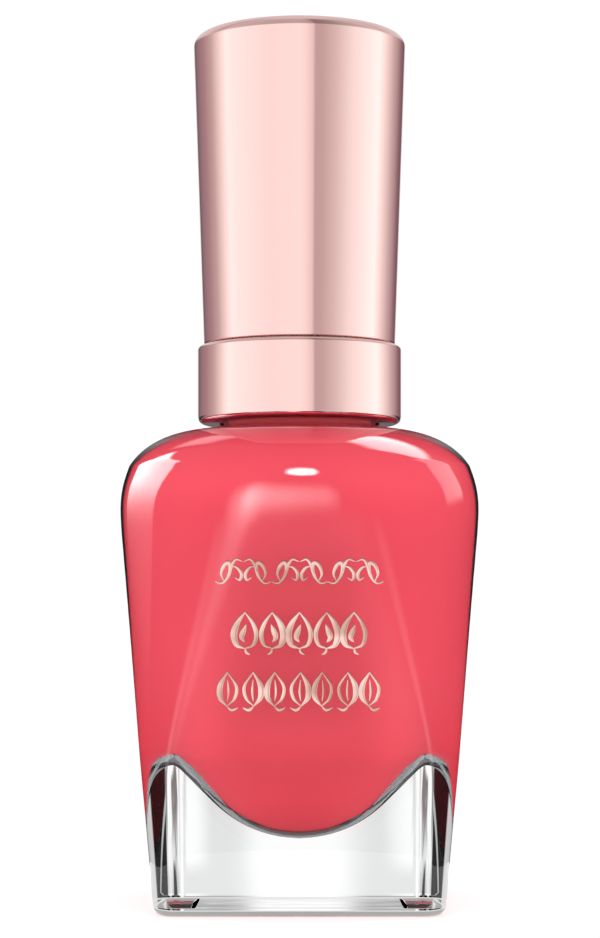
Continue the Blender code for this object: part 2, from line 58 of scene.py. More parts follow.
# ================================================================ node trees
class Wire:
    """A value on its way through a node tree; arithmetic on it adds Math nodes."""

    def __init__(self, nodes: "Nodes", socket: bpy.types.NodeSocket) -> None:
        """Keep the tree's builder and the socket that gives the value."""
        self.nodes = nodes
        self.socket = socket

    def __add__(self, other: "Wire | float") -> "Wire":
        """Sum."""
        return self.nodes.math("ADD", self, other)

    def __radd__(self, other: float) -> "Wire":
        """Reflected sum."""
        return self.nodes.math("ADD", other, self)

    def __sub__(self, other: "Wire | float") -> "Wire":
        """Difference."""
        return self.nodes.math("SUBTRACT", self, other)

    def __rsub__(self, other: float) -> "Wire":
        """Reflected difference."""
        return self.nodes.math("SUBTRACT", other, self)

    def __mul__(self, other: "Wire | float") -> "Wire":
        """Product."""
        return self.nodes.math("MULTIPLY", self, other)

    def __rmul__(self, other: float) -> "Wire":
        """Reflected product."""
        return self.nodes.math("MULTIPLY", other, self)

    def __truediv__(self, other: "Wire | float") -> "Wire":
        """Quotient."""
        return self.nodes.math("DIVIDE", self, other)

    def __abs__(self) -> "Wire":
        """Size without sign."""
        return self.nodes.math("ABSOLUTE", self)


class Nodes:
    """Builds one node tree."""

    def __init__(self, tree: bpy.types.NodeTree) -> None:
        """Start on an emptied tree."""
        self.tree = tree
        tree.nodes.clear()

    def add(self, kind: str, settings: dict | None = None, values: dict | None = None) -> bpy.types.Node:
        """Add a node.

        Args:
            kind: The node's type name.
            settings: Properties of the node, set first; "stops" gives a ramp's (place, colour) pairs.
            values: Numbers, colours or Wires for its input sockets, by name or number.

        Returns:
            The new node.
        """
        node = self.tree.nodes.new(kind)
        for name, setting in (settings or {}).items():
            if name == "stops":
                self._fill_ramp(node.color_ramp, setting)
            else:
                setattr(node, name, setting)
        for name, value in (values or {}).items():
            self.feed(node.inputs[name], value)
        return node

    def feed(self, socket: bpy.types.NodeSocket, value: object) -> None:
        """Give a socket its value.

        Args:
            socket: An input socket.
            value: A Wire, which is linked, or a constant.
        """
        if isinstance(value, Wire):
            self.tree.links.new(value.socket, socket)
        else:
            socket.default_value = value

    @staticmethod
    def _fill_ramp(ramp: bpy.types.ColorRamp, stops: Sequence[tuple[float, Color]]) -> None:
        """Give a ramp its stops.

        Args:
            ramp: The ramp of a new node.
            stops: Places between 0 and 1, in rising order, with their colours.
        """
        while len(ramp.elements) < len(stops):
            ramp.elements.new(1.0)
        for element, (place, color) in zip(ramp.elements, stops):
            element.position = place
            element.color = (*color, 1.0)

    def out(self, node: bpy.types.Node, name: str | int = 0) -> Wire:
        """The value that a node gives from one of its sockets."""
        return Wire(self, node.outputs[name])

    def math(self, operation: str, *values: "Wire | float") -> Wire:
        """Work out one operation on one to three values."""
        kind = "ShaderNodeMath"
        return self.out(self.add(kind, {"operation": operation}, dict(enumerate(values))))

    def ease(self, value: Wire, start: float, end: float, low: float = 0.0, high: float = 1.0) -> Wire:
        """Go smoothly from one level to another.

        Args:
            value: What the level follows.
            start: Where the level starts to change.
            end: Where it is done; this may lie below the start.
            low: The level at and before the start.
            high: The level at and past the end.

        Returns:
            The level.
        """
        settings = {"interpolation_type": "SMOOTHSTEP"}
        values = {"Value": value, "From Min": start, "From Max": end, "To Min": low, "To Max": high}
        return self.out(self.add("ShaderNodeMapRange", settings, values))

    def mix_color(self, factor: Wire | float, first: Wire | tuple, second: Wire | tuple,
                  blend: str = "MIX") -> Wire:
        """Mix two colours.

        Args:
            factor: The second colour's share.
            first: A colour or a Wire that carries one.
            second: The other colour.
            blend: The Mix node's way of blending.

        Returns:
            The mixed colour.
        """
        node = self.add("ShaderNodeMix", {"data_type": "RGBA", "blend_type": blend})
        factor_place, first_place, second_place, result_place = 0, 6, 7, 2
        for place, value in ((factor_place, factor), (first_place, first), (second_place, second)):
            self.feed(node.inputs[place], value if isinstance(value, (Wire, float)) else (*value, 1.0))
        return self.out(node, result_place)

    def grey(self, value: Wire) -> Wire:
        """A grey colour from a value."""
        return self.out(self.add("ShaderNodeCombineColor", None, {0: value, 1: value, 2: value}))

    def combine(self, **parts: Wire | float) -> Wire:
        """A vector from the parts named X, Y and Z; a part that isn't given is 0."""
        return self.out(self.add("ShaderNodeCombineXYZ", None, parts))

    def separate(self, vector: Wire) -> tuple[Wire, Wire, Wire]:
        """A vector's three parts."""
        parts = self.add("ShaderNodeSeparateXYZ", None, {0: vector})
        return self.out(parts, "X"), self.out(parts, "Y"), self.out(parts, "Z")

    def length(self, x: Wire, y: Wire) -> Wire:
        """The length of a vector with two parts."""
        return self.math("SQRT", x * x + y * y)

    def on_piece(self) -> tuple[Wire, Wire, Wire]:
        """The place on the piece, in metres from the foot's middle when the bottle is closed."""
        return self.separate(self.out(self.add("ShaderNodeTexCoord"), "Object"))

    def noise(self, scale: float | Color, detail: float, roughness: float = 0.5) -> Wire:
        """Cloudy values between 0 and 1 over the piece.

        Args:
            scale: Clouds a metre, the same along each axis or one number for each.
            detail: How many finer layers there are.
            roughness: How strong the finer layers are.

        Returns:
            The values.
        """
        coords = self.out(self.add("ShaderNodeTexCoord"), "Object")
        sizes = scale if isinstance(scale, tuple) else (scale, scale, scale)
        where = self.out(self.add("ShaderNodeMapping", None, {"Vector": coords, "Scale": sizes}))
        values = {"Vector": where, "Scale": 1.0, "Detail": detail, "Roughness": roughness}
        return self.out(self.add("ShaderNodeTexNoise", None, values), "Fac")

    def bump(self, height: Wire, strength: float, distance: float) -> Wire:
        """A normal leant by a height."""
        values = {"Height": height, "Strength": strength, "Distance": distance}
        return self.out(self.add("ShaderNodeBump", None, values))

    def principled(self, **values: object) -> Wire:
        """A Principled shader; each socket is named in lower case with underscores.

        Args:
            values: Numbers, colours or Wires for its sockets.

        Returns:
            The shader.
        """
        shader = self.add("ShaderNodeBsdfPrincipled")
        sockets = {socket.name.lower().replace(" ", "_"): socket for socket in shader.inputs}
        for name, value in values.items():
            self.feed(sockets[name], value)
        return self.out(shader)

    def mix_shader(self, factor: Wire, first: Wire, second: Wire) -> Wire:
        """Mix two shaders; the factor is the second one's share."""
        return self.out(self.add("ShaderNodeMixShader", None, {0: factor, 1: first, 2: second}))


def new_material(name: str) -> tuple[bpy.types.Material, Nodes]:
    """Start a material.

    Args:
        name: The material's name.

    Returns:
        The material, still empty, and its tree's builder.
    """
    material = bpy.data.materials.new(name)
    material.use_nodes = True
    return material, Nodes(material.node_tree)


def finish_surface(nodes: Nodes, shader: Wire) -> None:
    """End a material's tree on a shader."""
    nodes.add("ShaderNodeOutputMaterial", None, {"Surface": shader})


def toned(color: Color, factor: float) -> Color:
    """A colour made darker or lighter by a factor."""
    return tuple(min(1.0, part * factor) for part in color)


# ================================================================ finishes
@dataclass(frozen=True)
class ClearGlass:
    """Flint glass with the faint ripple of a moulded wall; seen edge-on, it is painted with a dark outline.

    The outline is painted shade: a dark matt shader that stands in for the dark surroundings the glass
    reflects edge-on. It is strongest round the belly, fades towards the foot and the neck by height, and is
    painted paler grey near the top.
    """

    tint: Color = (0.985, 0.995, 0.993)
    tint_gain: float = 1.006
    ior: float = 1.52
    ripple_scale: Color = (160.0, 160.0, 60.0)
    ripple: float = 0.012
    ripple_depth: float = 2.0 * MM
    # painted shade: the dark colour of the painted outline, and below it the paler grey the outline is
    # painted near the top
    outline: Color = (0.012, 0.012, 0.014)
    painted_outline_top: Color = (0.20, 0.19, 0.20)
    painted_outline_roughness: float = 0.6
    painted_outline_mirror: Row = (0.26, 0.42)
    painted_outline_grows: Row = (16.0 * MM, 32.0 * MM)
    painted_outline_pales: Row = (41.0 * MM, 45.2 * MM)
    painted_outline_fades: Row = (45.2 * MM, 43.2 * MM)

    def material(self) -> bpy.types.Material:
        """Make the material.

        Returns:
            The clear glass.
        """
        material, nodes = new_material("clear_glass")
        ripple = nodes.noise(self.ripple_scale, 1.0)
        glass = nodes.principled(
            base_color=nodes.mix_color(ripple, self.tint, toned(self.tint, self.tint_gain)),
            roughness=0.0, ior=self.ior, transmission_weight=1.0,
            normal=nodes.bump(ripple, self.ripple, self.ripple_depth),
        )
        _, _, height = nodes.on_piece()
        pale = nodes.ease(height, *self.painted_outline_pales)
        # painted shade: a dark matt surface, paler grey near the top, that takes the glass's place where it
        # is seen edge-on
        outline = nodes.principled(
            base_color=nodes.mix_color(pale, self.outline, self.painted_outline_top),
            roughness=self.painted_outline_roughness, specular_ior_level=0.0,
        )
        mirror = nodes.out(nodes.add("ShaderNodeFresnel", None, {"IOR": self.ior}))
        outside = 1.0 - nodes.out(nodes.add("ShaderNodeNewGeometry"), "Backfacing")
        reach = nodes.ease(height, *self.painted_outline_grows) * nodes.ease(height, *self.painted_outline_fades)
        # share of the painted dark outline: strong where the glass is seen edge-on, outside only, faded by
        # height
        dark = nodes.ease(mirror, *self.painted_outline_mirror) * outside * reach
        finish_surface(nodes, nodes.mix_shader(dark, glass, outline))
        return material


@dataclass(frozen=True)
class CoralLacquer:
    """Creamy coral lacquer behind glass; seen nearly along its surface, it mirrors.

    Its index ratio to the glass is a little under 1, so the mirror is total at a flat angle. The mirror is
    real, but its colour is painted grey: painted shade that dims the total reflection into a grey band.
    """

    deep: Color = (0.93, 0.076, 0.117)
    light: Color = (0.96, 0.096, 0.137)
    # painted shade: a darker, deeper coral towards the bottom, evening out the brighter light on the lower
    # lacquer
    low: Color = (0.96, 0.060, 0.096)
    # painted light: a lighter, more orange coral in the neck, where the collar keeps light out
    throat: Color = (1.0, 0.17, 0.18)
    painted_shade_low_grows: Row = (22.0 * MM, 11.0 * MM)
    painted_light_throat_grows: Row = (43.5 * MM, 45.0 * MM)
    cloud_scale: float = 55.0
    cloud_range: Row = (0.3, 0.7)
    roughness: Row = (0.40, 0.50)
    specular: float = 0.1
    # painted shade: the mirror's colour is dimmed to grey, though a total reflection would be full
    painted_grey_mirror: Color = (0.27, 0.28, 0.29)
    gleam_roughness: float = 0.02
    index_ratio: float = 0.945

    def material(self) -> bpy.types.Material:
        """Make the material.

        Returns:
            The lacquer.
        """
        material, nodes = new_material("coral_lacquer")
        cloud = nodes.noise(self.cloud_scale, 2.0)
        _, _, height = nodes.on_piece()
        upper = nodes.mix_color(cloud, self.deep, self.light)
        # painted light: the lacquer is made lighter in the neck, by height
        upper = nodes.mix_color(nodes.ease(height, *self.painted_light_throat_grows), upper, self.throat)
        body = nodes.principled(
            # painted shade: the lacquer darkens towards the bottom, by height
            base_color=nodes.mix_color(nodes.ease(height, *self.painted_shade_low_grows), upper, self.low),
            roughness=nodes.ease(cloud, *self.cloud_range, *self.roughness),
            specular_ior_level=self.specular,
        )
        values = {"Color": (*self.painted_grey_mirror, 1.0), "Roughness": self.gleam_roughness}
        # the mirror, its colour painted grey as shade
        painted_grey_mirror = nodes.out(nodes.add("ShaderNodeBsdfGlossy", None, values))
        mirror = nodes.out(nodes.add("ShaderNodeFresnel", None, {"IOR": self.index_ratio}))
        finish_surface(nodes, nodes.mix_shader(mirror, body, painted_grey_mirror))
        return material


@dataclass(frozen=True)
class RoseGold:
    """Polished and lacquered rose gold metal with fine hairlines; its underside lies in shade."""

    color: Color = (0.87, 0.57, 0.545)
    warm: Color = (0.885, 0.58, 0.545)
    shaded: Color = (0.22, 0.12, 0.17)
    shade_deepens: Row = (46.25 * MM, 46.0 * MM)
    patch_scale: float = 70.0
    smudge_scale: float = 240.0
    smudge_range: Row = (0.35, 0.75)
    roughness: float = 0.055
    polish_gain: float = 0.85
    smudge_gain: float = 1.2
    hairline_scale: Color = (9000.0, 9000.0, 260.0)
    hairline_roughness: float = 0.02
    hairline_bump: float = 0.02
    hairline_depth: float = 0.02 * MM

    def material(self) -> bpy.types.Material:
        """Make the material.

        Returns:
            The metal.
        """
        material, nodes = new_material("rose_gold")
        patch = nodes.noise(self.patch_scale, 2.0)
        hairline = nodes.noise(self.hairline_scale, 2.0)
        smudge = nodes.noise(self.smudge_scale, 4.0, 0.6)
        polished, smudged = self.roughness * self.polish_gain, self.roughness * self.smudge_gain
        rough = nodes.ease(smudge, *self.smudge_range, polished, smudged)
        _, _, height = nodes.on_piece()
        metal = nodes.mix_color(patch, self.color, self.warm)
        finish_surface(nodes, nodes.principled(
            base_color=nodes.mix_color(nodes.ease(height, *self.shade_deepens), metal, self.shaded),
            metallic=1.0, roughness=rough + (hairline - 0.5) * self.hairline_roughness,
            normal=nodes.bump(hairline, self.hairline_bump, self.hairline_depth),
        ))
        return material


@dataclass(frozen=True)
class PressedFoil:
    """Hot-pressed foil with the mottle of its carrier."""

    color: Color = (0.86, 0.60, 0.53)
    worn: Color = (0.58, 0.34, 0.28)
    sweep_scale: Color = (260.0, 260.0, 420.0)
    sweep_range: Row = (0.35, 0.65)
    mottle_scale: float = 900.0
    mottle_range: Row = (0.3, 0.7)
    mottle_bump: float = 0.12
    mottle_depth: float = 0.02 * MM
    roughness: Row = (0.16, 0.26)

    def material(self) -> bpy.types.Material:
        """Make the material.

        Returns:
            The foil.
        """
        material, nodes = new_material("rose_foil")
        mottle = nodes.noise(self.mottle_scale, 3.0)
        sweep = nodes.noise(self.sweep_scale, 1.0)
        finish_surface(nodes, nodes.principled(
            base_color=nodes.mix_color(nodes.ease(sweep, *self.sweep_range), self.worn, self.color),
            metallic=1.0, roughness=nodes.ease(mottle, *self.mottle_range, *self.roughness),
            normal=nodes.bump(mottle, self.mottle_bump, self.mottle_depth),
        ))
        return material


@dataclass(frozen=True)
class MouldedPlastic:
    """Moulded plastic with a faint grain."""

    name: str
    color: Color
    roughness: float = 0.4
    grain_scale: float = 700.0
    grain_range: Row = (0.3, 0.7)
    grain_bump: float = 0.08
    grain_depth: float = 0.02 * MM
    cloud_scale: float = 120.0
    cloud_tone: float = 0.93

    def material(self) -> bpy.types.Material:
        """Make the material.

        Returns:
            The plastic.
        """
        material, nodes = new_material(self.name)
        grain = nodes.noise(self.grain_scale, 3.0)
        cloud = nodes.noise(self.cloud_scale, 1.0)
        smooth, coarse = self.roughness - 0.05, self.roughness + 0.06
        finish_surface(nodes, nodes.principled(
            base_color=nodes.mix_color(cloud, toned(self.color, self.cloud_tone), self.color),
            roughness=nodes.ease(grain, *self.grain_range, smooth, coarse),
            normal=nodes.bump(grain, self.grain_bump, self.grain_depth),
        ))
        return material


@dataclass(frozen=True)
class WetWithLacquer:
    """A dark plastic or hair that carries a film of lacquer up to a height."""

    name: str
    dry: Color
    cover: float = 0.9
    film: Color = (0.86, 0.075, 0.10)
    film_top: float = 52.0 * MM
    film_edge: float = 1.0 * MM
    film_runs: float = 9.0 * MM
    dry_roughness: float = 0.42
    film_smooths: float = 0.3
    streak_scale: Color = (900.0, 900.0, 90.0)
    streak_bump: float = 0.15
    streak_depth: float = 0.03 * MM

    def material(self) -> bpy.types.Material:
        """Make the material.

        Returns:
            The wet plastic or hair.
        """
        material, nodes = new_material(self.name)
        _, _, height = nodes.on_piece()
        streak = nodes.noise(self.streak_scale, 3.0)
        edge = height + (streak - 0.5) * self.film_runs
        wet = nodes.ease(edge, self.film_top, self.film_top - self.film_edge) * self.cover
        finish_surface(nodes, nodes.principled(
            base_color=nodes.mix_color(wet, self.dry, self.film),
            roughness=self.dry_roughness - wet * self.film_smooths,
            coat_weight=wet,
            normal=nodes.bump(streak, self.streak_bump, self.streak_depth),
        ))
        return material


@dataclass(frozen=True)
class BrightSteel:
    """Polished steel with light scuffs."""

    color: Color = (0.66, 0.66, 0.67)
    scuff_tone: float = 0.85
    scuff_scale: float = 1600.0
    scuff_range: Row = (0.4, 0.8)
    roughness: Row = (0.12, 0.3)

    def material(self) -> bpy.types.Material:
        """Make the material.

        Returns:
            The steel.
        """
        material, nodes = new_material("bright_steel")
        scuff = nodes.noise(self.scuff_scale, 4.0, 0.65)
        finish_surface(nodes, nodes.principled(
            base_color=nodes.mix_color(scuff, toned(self.color, self.scuff_tone), self.color),
            metallic=1.0, roughness=nodes.ease(scuff, *self.scuff_range, *self.roughness),
        ))
        return material


@dataclass(frozen=True)
class LabelPaper:
    """Coated paper with a faint printed ring near its edge."""

    color: Color = (0.90, 0.90, 0.89)
    ring: Color = (0.62, 0.42, 0.40)
    ring_radius: float = 7.1 * MM
    ring_width: float = 0.12 * MM
    ring_core: float = 0.6
    fibre_scale: float = 2500.0
    fibre_range: Row = (0.3, 0.7)
    fibre_bump: float = 0.1
    fibre_depth: float = 0.02 * MM
    roughness: Row = (0.45, 0.6)

    def material(self) -> bpy.types.Material:
        """Make the material.

        Returns:
            The paper.
        """
        material, nodes = new_material("label_paper")
        x, y, _ = nodes.on_piece()
        off_ring = abs(nodes.length(x, y) - self.ring_radius)
        ring = nodes.ease(off_ring, self.ring_width, self.ring_width * self.ring_core)
        fibre = nodes.noise(self.fibre_scale, 4.0, 0.7)
        finish_surface(nodes, nodes.principled(
            base_color=nodes.mix_color(ring, self.color, self.ring),
            roughness=nodes.ease(fibre, *self.fibre_range, *self.roughness),
            normal=nodes.bump(fibre, self.fibre_bump, self.fibre_depth),
        ))
        return material


@dataclass(frozen=True)
class PaleFloor:
    """A plain pale tabletop with a painted glow, a little more towards its rim: painted light that keeps it
    white and fades out the bottle's shadow before the rim.
    """

    radius: float = 36.0 * MM
    color: Color = (0.35, 0.35, 0.35)
    speck_tone: float = 1.03
    speck_scale: float = 30.0
    roughness: float = 0.6
    # painted light: the floor's glow in the middle and at the rim
    painted_glow: Row = (0.60, 0.90)
    painted_glow_grows: Row = (0.45, 0.95)

    def material(self) -> bpy.types.Material:
        """Make the material.

        Returns:
            The floor's finish.
        """
        material, nodes = new_material("pale_floor")
        speck = nodes.noise(self.speck_scale, 2.0)
        x, y, _ = nodes.on_piece()
        start, end = (share * self.radius for share in self.painted_glow_grows)
        finish_surface(nodes, nodes.principled(
            base_color=nodes.mix_color(speck, self.color, toned(self.color, self.speck_tone)),
            roughness=self.roughness, specular_ior_level=0.0,
            # painted light: emission that rises from the middle towards the rim
            emission_color=nodes.grey(nodes.ease(nodes.length(x, y), start, end, *self.painted_glow)),
            emission_strength=1.0,
        ))
        return material


# ================================================================ mesh tools
def arc(centre: Row, radius: float, start: float, end: float, steps: int) -> list[Row]:
    """Points of an arc in the (radius, height) plane.

    Args:
        centre: The arc's centre.
        radius: Its radius.
        start: The first point's angle in degrees, 0 outwards and 90 upwards.
        end: The last point's angle.
        steps: How many steps lie between them.

    Returns:
        The points, both ends included.
    """
    angles = [math.radians(start + (end - start) * i / steps) for i in range(steps + 1)]
    return [(centre[0] + radius * math.cos(a), centre[1] + radius * math.sin(a)) for a in angles]


def superellipse(centre: Row, across: float, up: float, fullness: float, steps: int) -> list[Row]:
    """Quarter of a superellipse in the (radius, height) plane.

    Args:
        centre: Its centre.
        across: Its half-width.
        up: Its half-height.
        fullness: The exponent, 2 for an ellipse and more for a squarer curve.
        steps: How many steps lie between its ends.

    Returns:
        The points from its widest place to its top.
    """
    points = []
    for i in range(steps + 1):
        a = math.pi / 2 * i / steps
        points.append((centre[0] + across * max(math.cos(a), 0.0) ** (2 / fullness),
                       centre[1] + up * math.sin(a) ** (2 / fullness)))
    return points


def respace(rows: np.ndarray, spacing: float) -> np.ndarray:
    """Even out a polyline's points along its own length.

    Args:
        rows: The points, one a row.
        spacing: The distance that is wanted between them.

    Returns:
        The new points, with the old ends.
    """
    steps = np.linalg.norm(np.diff(rows, axis=0), axis=1)
    along = np.concatenate([[0.0], np.cumsum(steps)])
    places = np.linspace(0.0, along[-1], max(2, int(round(along[-1] / spacing)) + 1))
    return np.stack([np.interp(places, along, rows[:, k]) for k in range(rows.shape[1])], axis=1)


def soften(rows: np.ndarray, passes: int) -> np.ndarray:
    """Round off slight kinks by averaging each point with its neighbours.

    Args:
        rows: The points, one a row.
        passes: How many times to average.

    Returns:
        The softened points, with the old ends.
    """
    rows = rows.copy()
    for _ in range(passes):
        rows[1:-1] = 0.25 * rows[:-2] + 0.5 * rows[1:-1] + 0.25 * rows[2:]
    return rows


def shifted_outwards(profile: Sequence[Row], distance: float) -> list[Row]:
    """Move a profile that runs upwards towards its outer side.

    Args:
        profile: Its points in the (radius, height) plane.
        distance: How far to move it.

    Returns:
        The moved points.
    """
    moved = []
    for i, (radius, height) in enumerate(profile):
        before, after = profile[max(i - 1, 0)], profile[min(i + 1, len(profile) - 1)]
        dr, dz = after[0] - before[0], after[1] - before[1]
        size = math.hypot(dr, dz)
        moved.append((max(radius + dz / size * distance, 0.0), height - dr / size * distance))
    return moved


def turned_outwards(mesh: bpy.types.Mesh, sharp: float) -> None:
    """Merge a mesh's doubles, turn its closed parts outwards and shade it.

    Args:
        mesh: The mesh.
        sharp: Edges sharper than this many degrees stay crisp.
    """
    bm = bmesh.new()
    bm.from_mesh(mesh)
    bmesh.ops.remove_doubles(bm, verts=bm.verts, dist=MERGE_DISTANCE)
    bmesh.ops.recalc_face_normals(bm, faces=bm.faces)
    bm.to_mesh(mesh)
    bm.free()
    mesh.shade_smooth()
    mesh.set_sharp_from_angle(angle=math.radians(sharp))


def placed(name: str, mesh: bpy.types.Mesh) -> bpy.types.Object:
    """Put a mesh in the scene at the origin.

    Args:
        name: The object's name.
        mesh: Its mesh.

    Returns:
        The object.
    """
    obj = bpy.data.objects.new(name, mesh)
    bpy.context.scene.collection.objects.link(obj)
    return obj


def mesh_object(name: str, points: Iterable, faces: Iterable, material: bpy.types.Material,
                sharp: float = 35.0) -> bpy.types.Object:
    """Make a smooth-shaded object from points and faces.

    Args:
        name: The object's name.
        points: Its points.
        faces: The numbers of each face's points.
        material: The finish.
        sharp: Edges sharper than this many degrees stay crisp.

    Returns:
        The object, at the origin.
    """
    mesh = bpy.data.meshes.new(name)
    mesh.from_pydata([tuple(p) for p in points], [], [tuple(f) for f in faces])
    turned_outwards(mesh, sharp)
    mesh.materials.append(material)
    return placed(name, mesh)


def band_faces(rings: int, count: int, base: int = 0, closed: bool = False) -> list[tuple[int, ...]]:
    """Quads between rings of points that follow each other.

    Args:
        rings: How many rings there are.
        count: How many points a ring has.
        base: The number of the first ring's first point.
        closed: Join the last ring to the first as well.

    Returns:
        The numbers of each quad's points.
    """
    faces = []
    for ring in range(rings if closed else rings - 1):
        low, high = base + ring * count, base + (ring + 1) % rings * count
        for i in range(count):
            j = (i + 1) % count
            faces.append((low + i, low + j, high + j, high + i))
    return faces


def skin(name: str, rings: Sequence[np.ndarray], material: bpy.types.Material, start: tuple | None = None,
         end: tuple | None = None, closed: bool = False) -> bpy.types.Object:
    """Skin rings of equal point counts.

    Args:
        name: The object's name.
        rings: Each ring's points, in order along the surface.
        material: The finish.
        start: A point that closes the first ring as a fan.
        end: A point that closes the last ring as a fan.
        closed: Join the last ring to the first instead.

    Returns:
        The object.
    """
    count = len(rings[0])
    points = [tuple(point) for ring in rings for point in ring]
    faces = band_faces(len(rings), count, closed=closed)
    for tip, first in ((start, 0), (end, (len(rings) - 1) * count)):
        if tip is not None:
            faces += [(len(points), first + i, first + (i + 1) % count) for i in range(count)]
            points.append(tip)
    return mesh_object(name, points, faces, material)


def circle(radius: float | np.ndarray, height: float, angles: np.ndarray) -> np.ndarray:
    """Points round the axis at a height.

    Args:
        radius: Their distance from the axis, one for all or one for each angle.
        height: Their height.
        angles: Their places round the axis, in radians.

    Returns:
        The points, one a row.
    """
    return np.stack([radius * np.cos(angles), radius * np.sin(angles), np.full(len(angles), height)], axis=1)


def turned(name: str, profile: Sequence[Row], material: bpy.types.Material,
           segments: int = 160) -> bpy.types.Object:
    """Turn a profile about the axis; it closes there where it starts or ends on it, or else on itself.

    Args:
        name: The object's name.
        profile: Its points in the (radius, height) plane.
        material: The finish.
        segments: How many columns the surface has.

    Returns:
        The object.
    """
    angles = np.arange(segments) * math.tau / segments
    rows = list(profile)
    start = (0.0, 0.0, rows.pop(0)[1]) if rows[0][0] < ON_AXIS else None
    end = (0.0, 0.0, rows.pop()[1]) if rows[-1][0] < ON_AXIS else None
    rings = [circle(radius, height, angles) for radius, height in rows]
    return skin(name, rings, material, start, end, closed=start is None and end is None)


def settle(piece: bpy.types.Object, body: str, node: str) -> None:
    """Let a piece ride on its body and stand for its CAD node.

    Args:
        piece: The finished piece.
        body: The body that it moves with.
        node: The CAD node that it replaces.
    """
    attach(piece, body)
    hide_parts(node)
    LOG.info("%s rides on %s with %d faces", piece.name, body, len(piece.data.polygons))


def dress(node: str, material: bpy.types.Material) -> None:
    """Give a CAD node that stays in view its finish.

    Args:
        node: The node's name.
        material: The finish.
    """
    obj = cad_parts[node]
    obj.data.materials.clear()
    obj.data.materials.append(material)
    LOG.info("%s keeps its CAD shape", node)


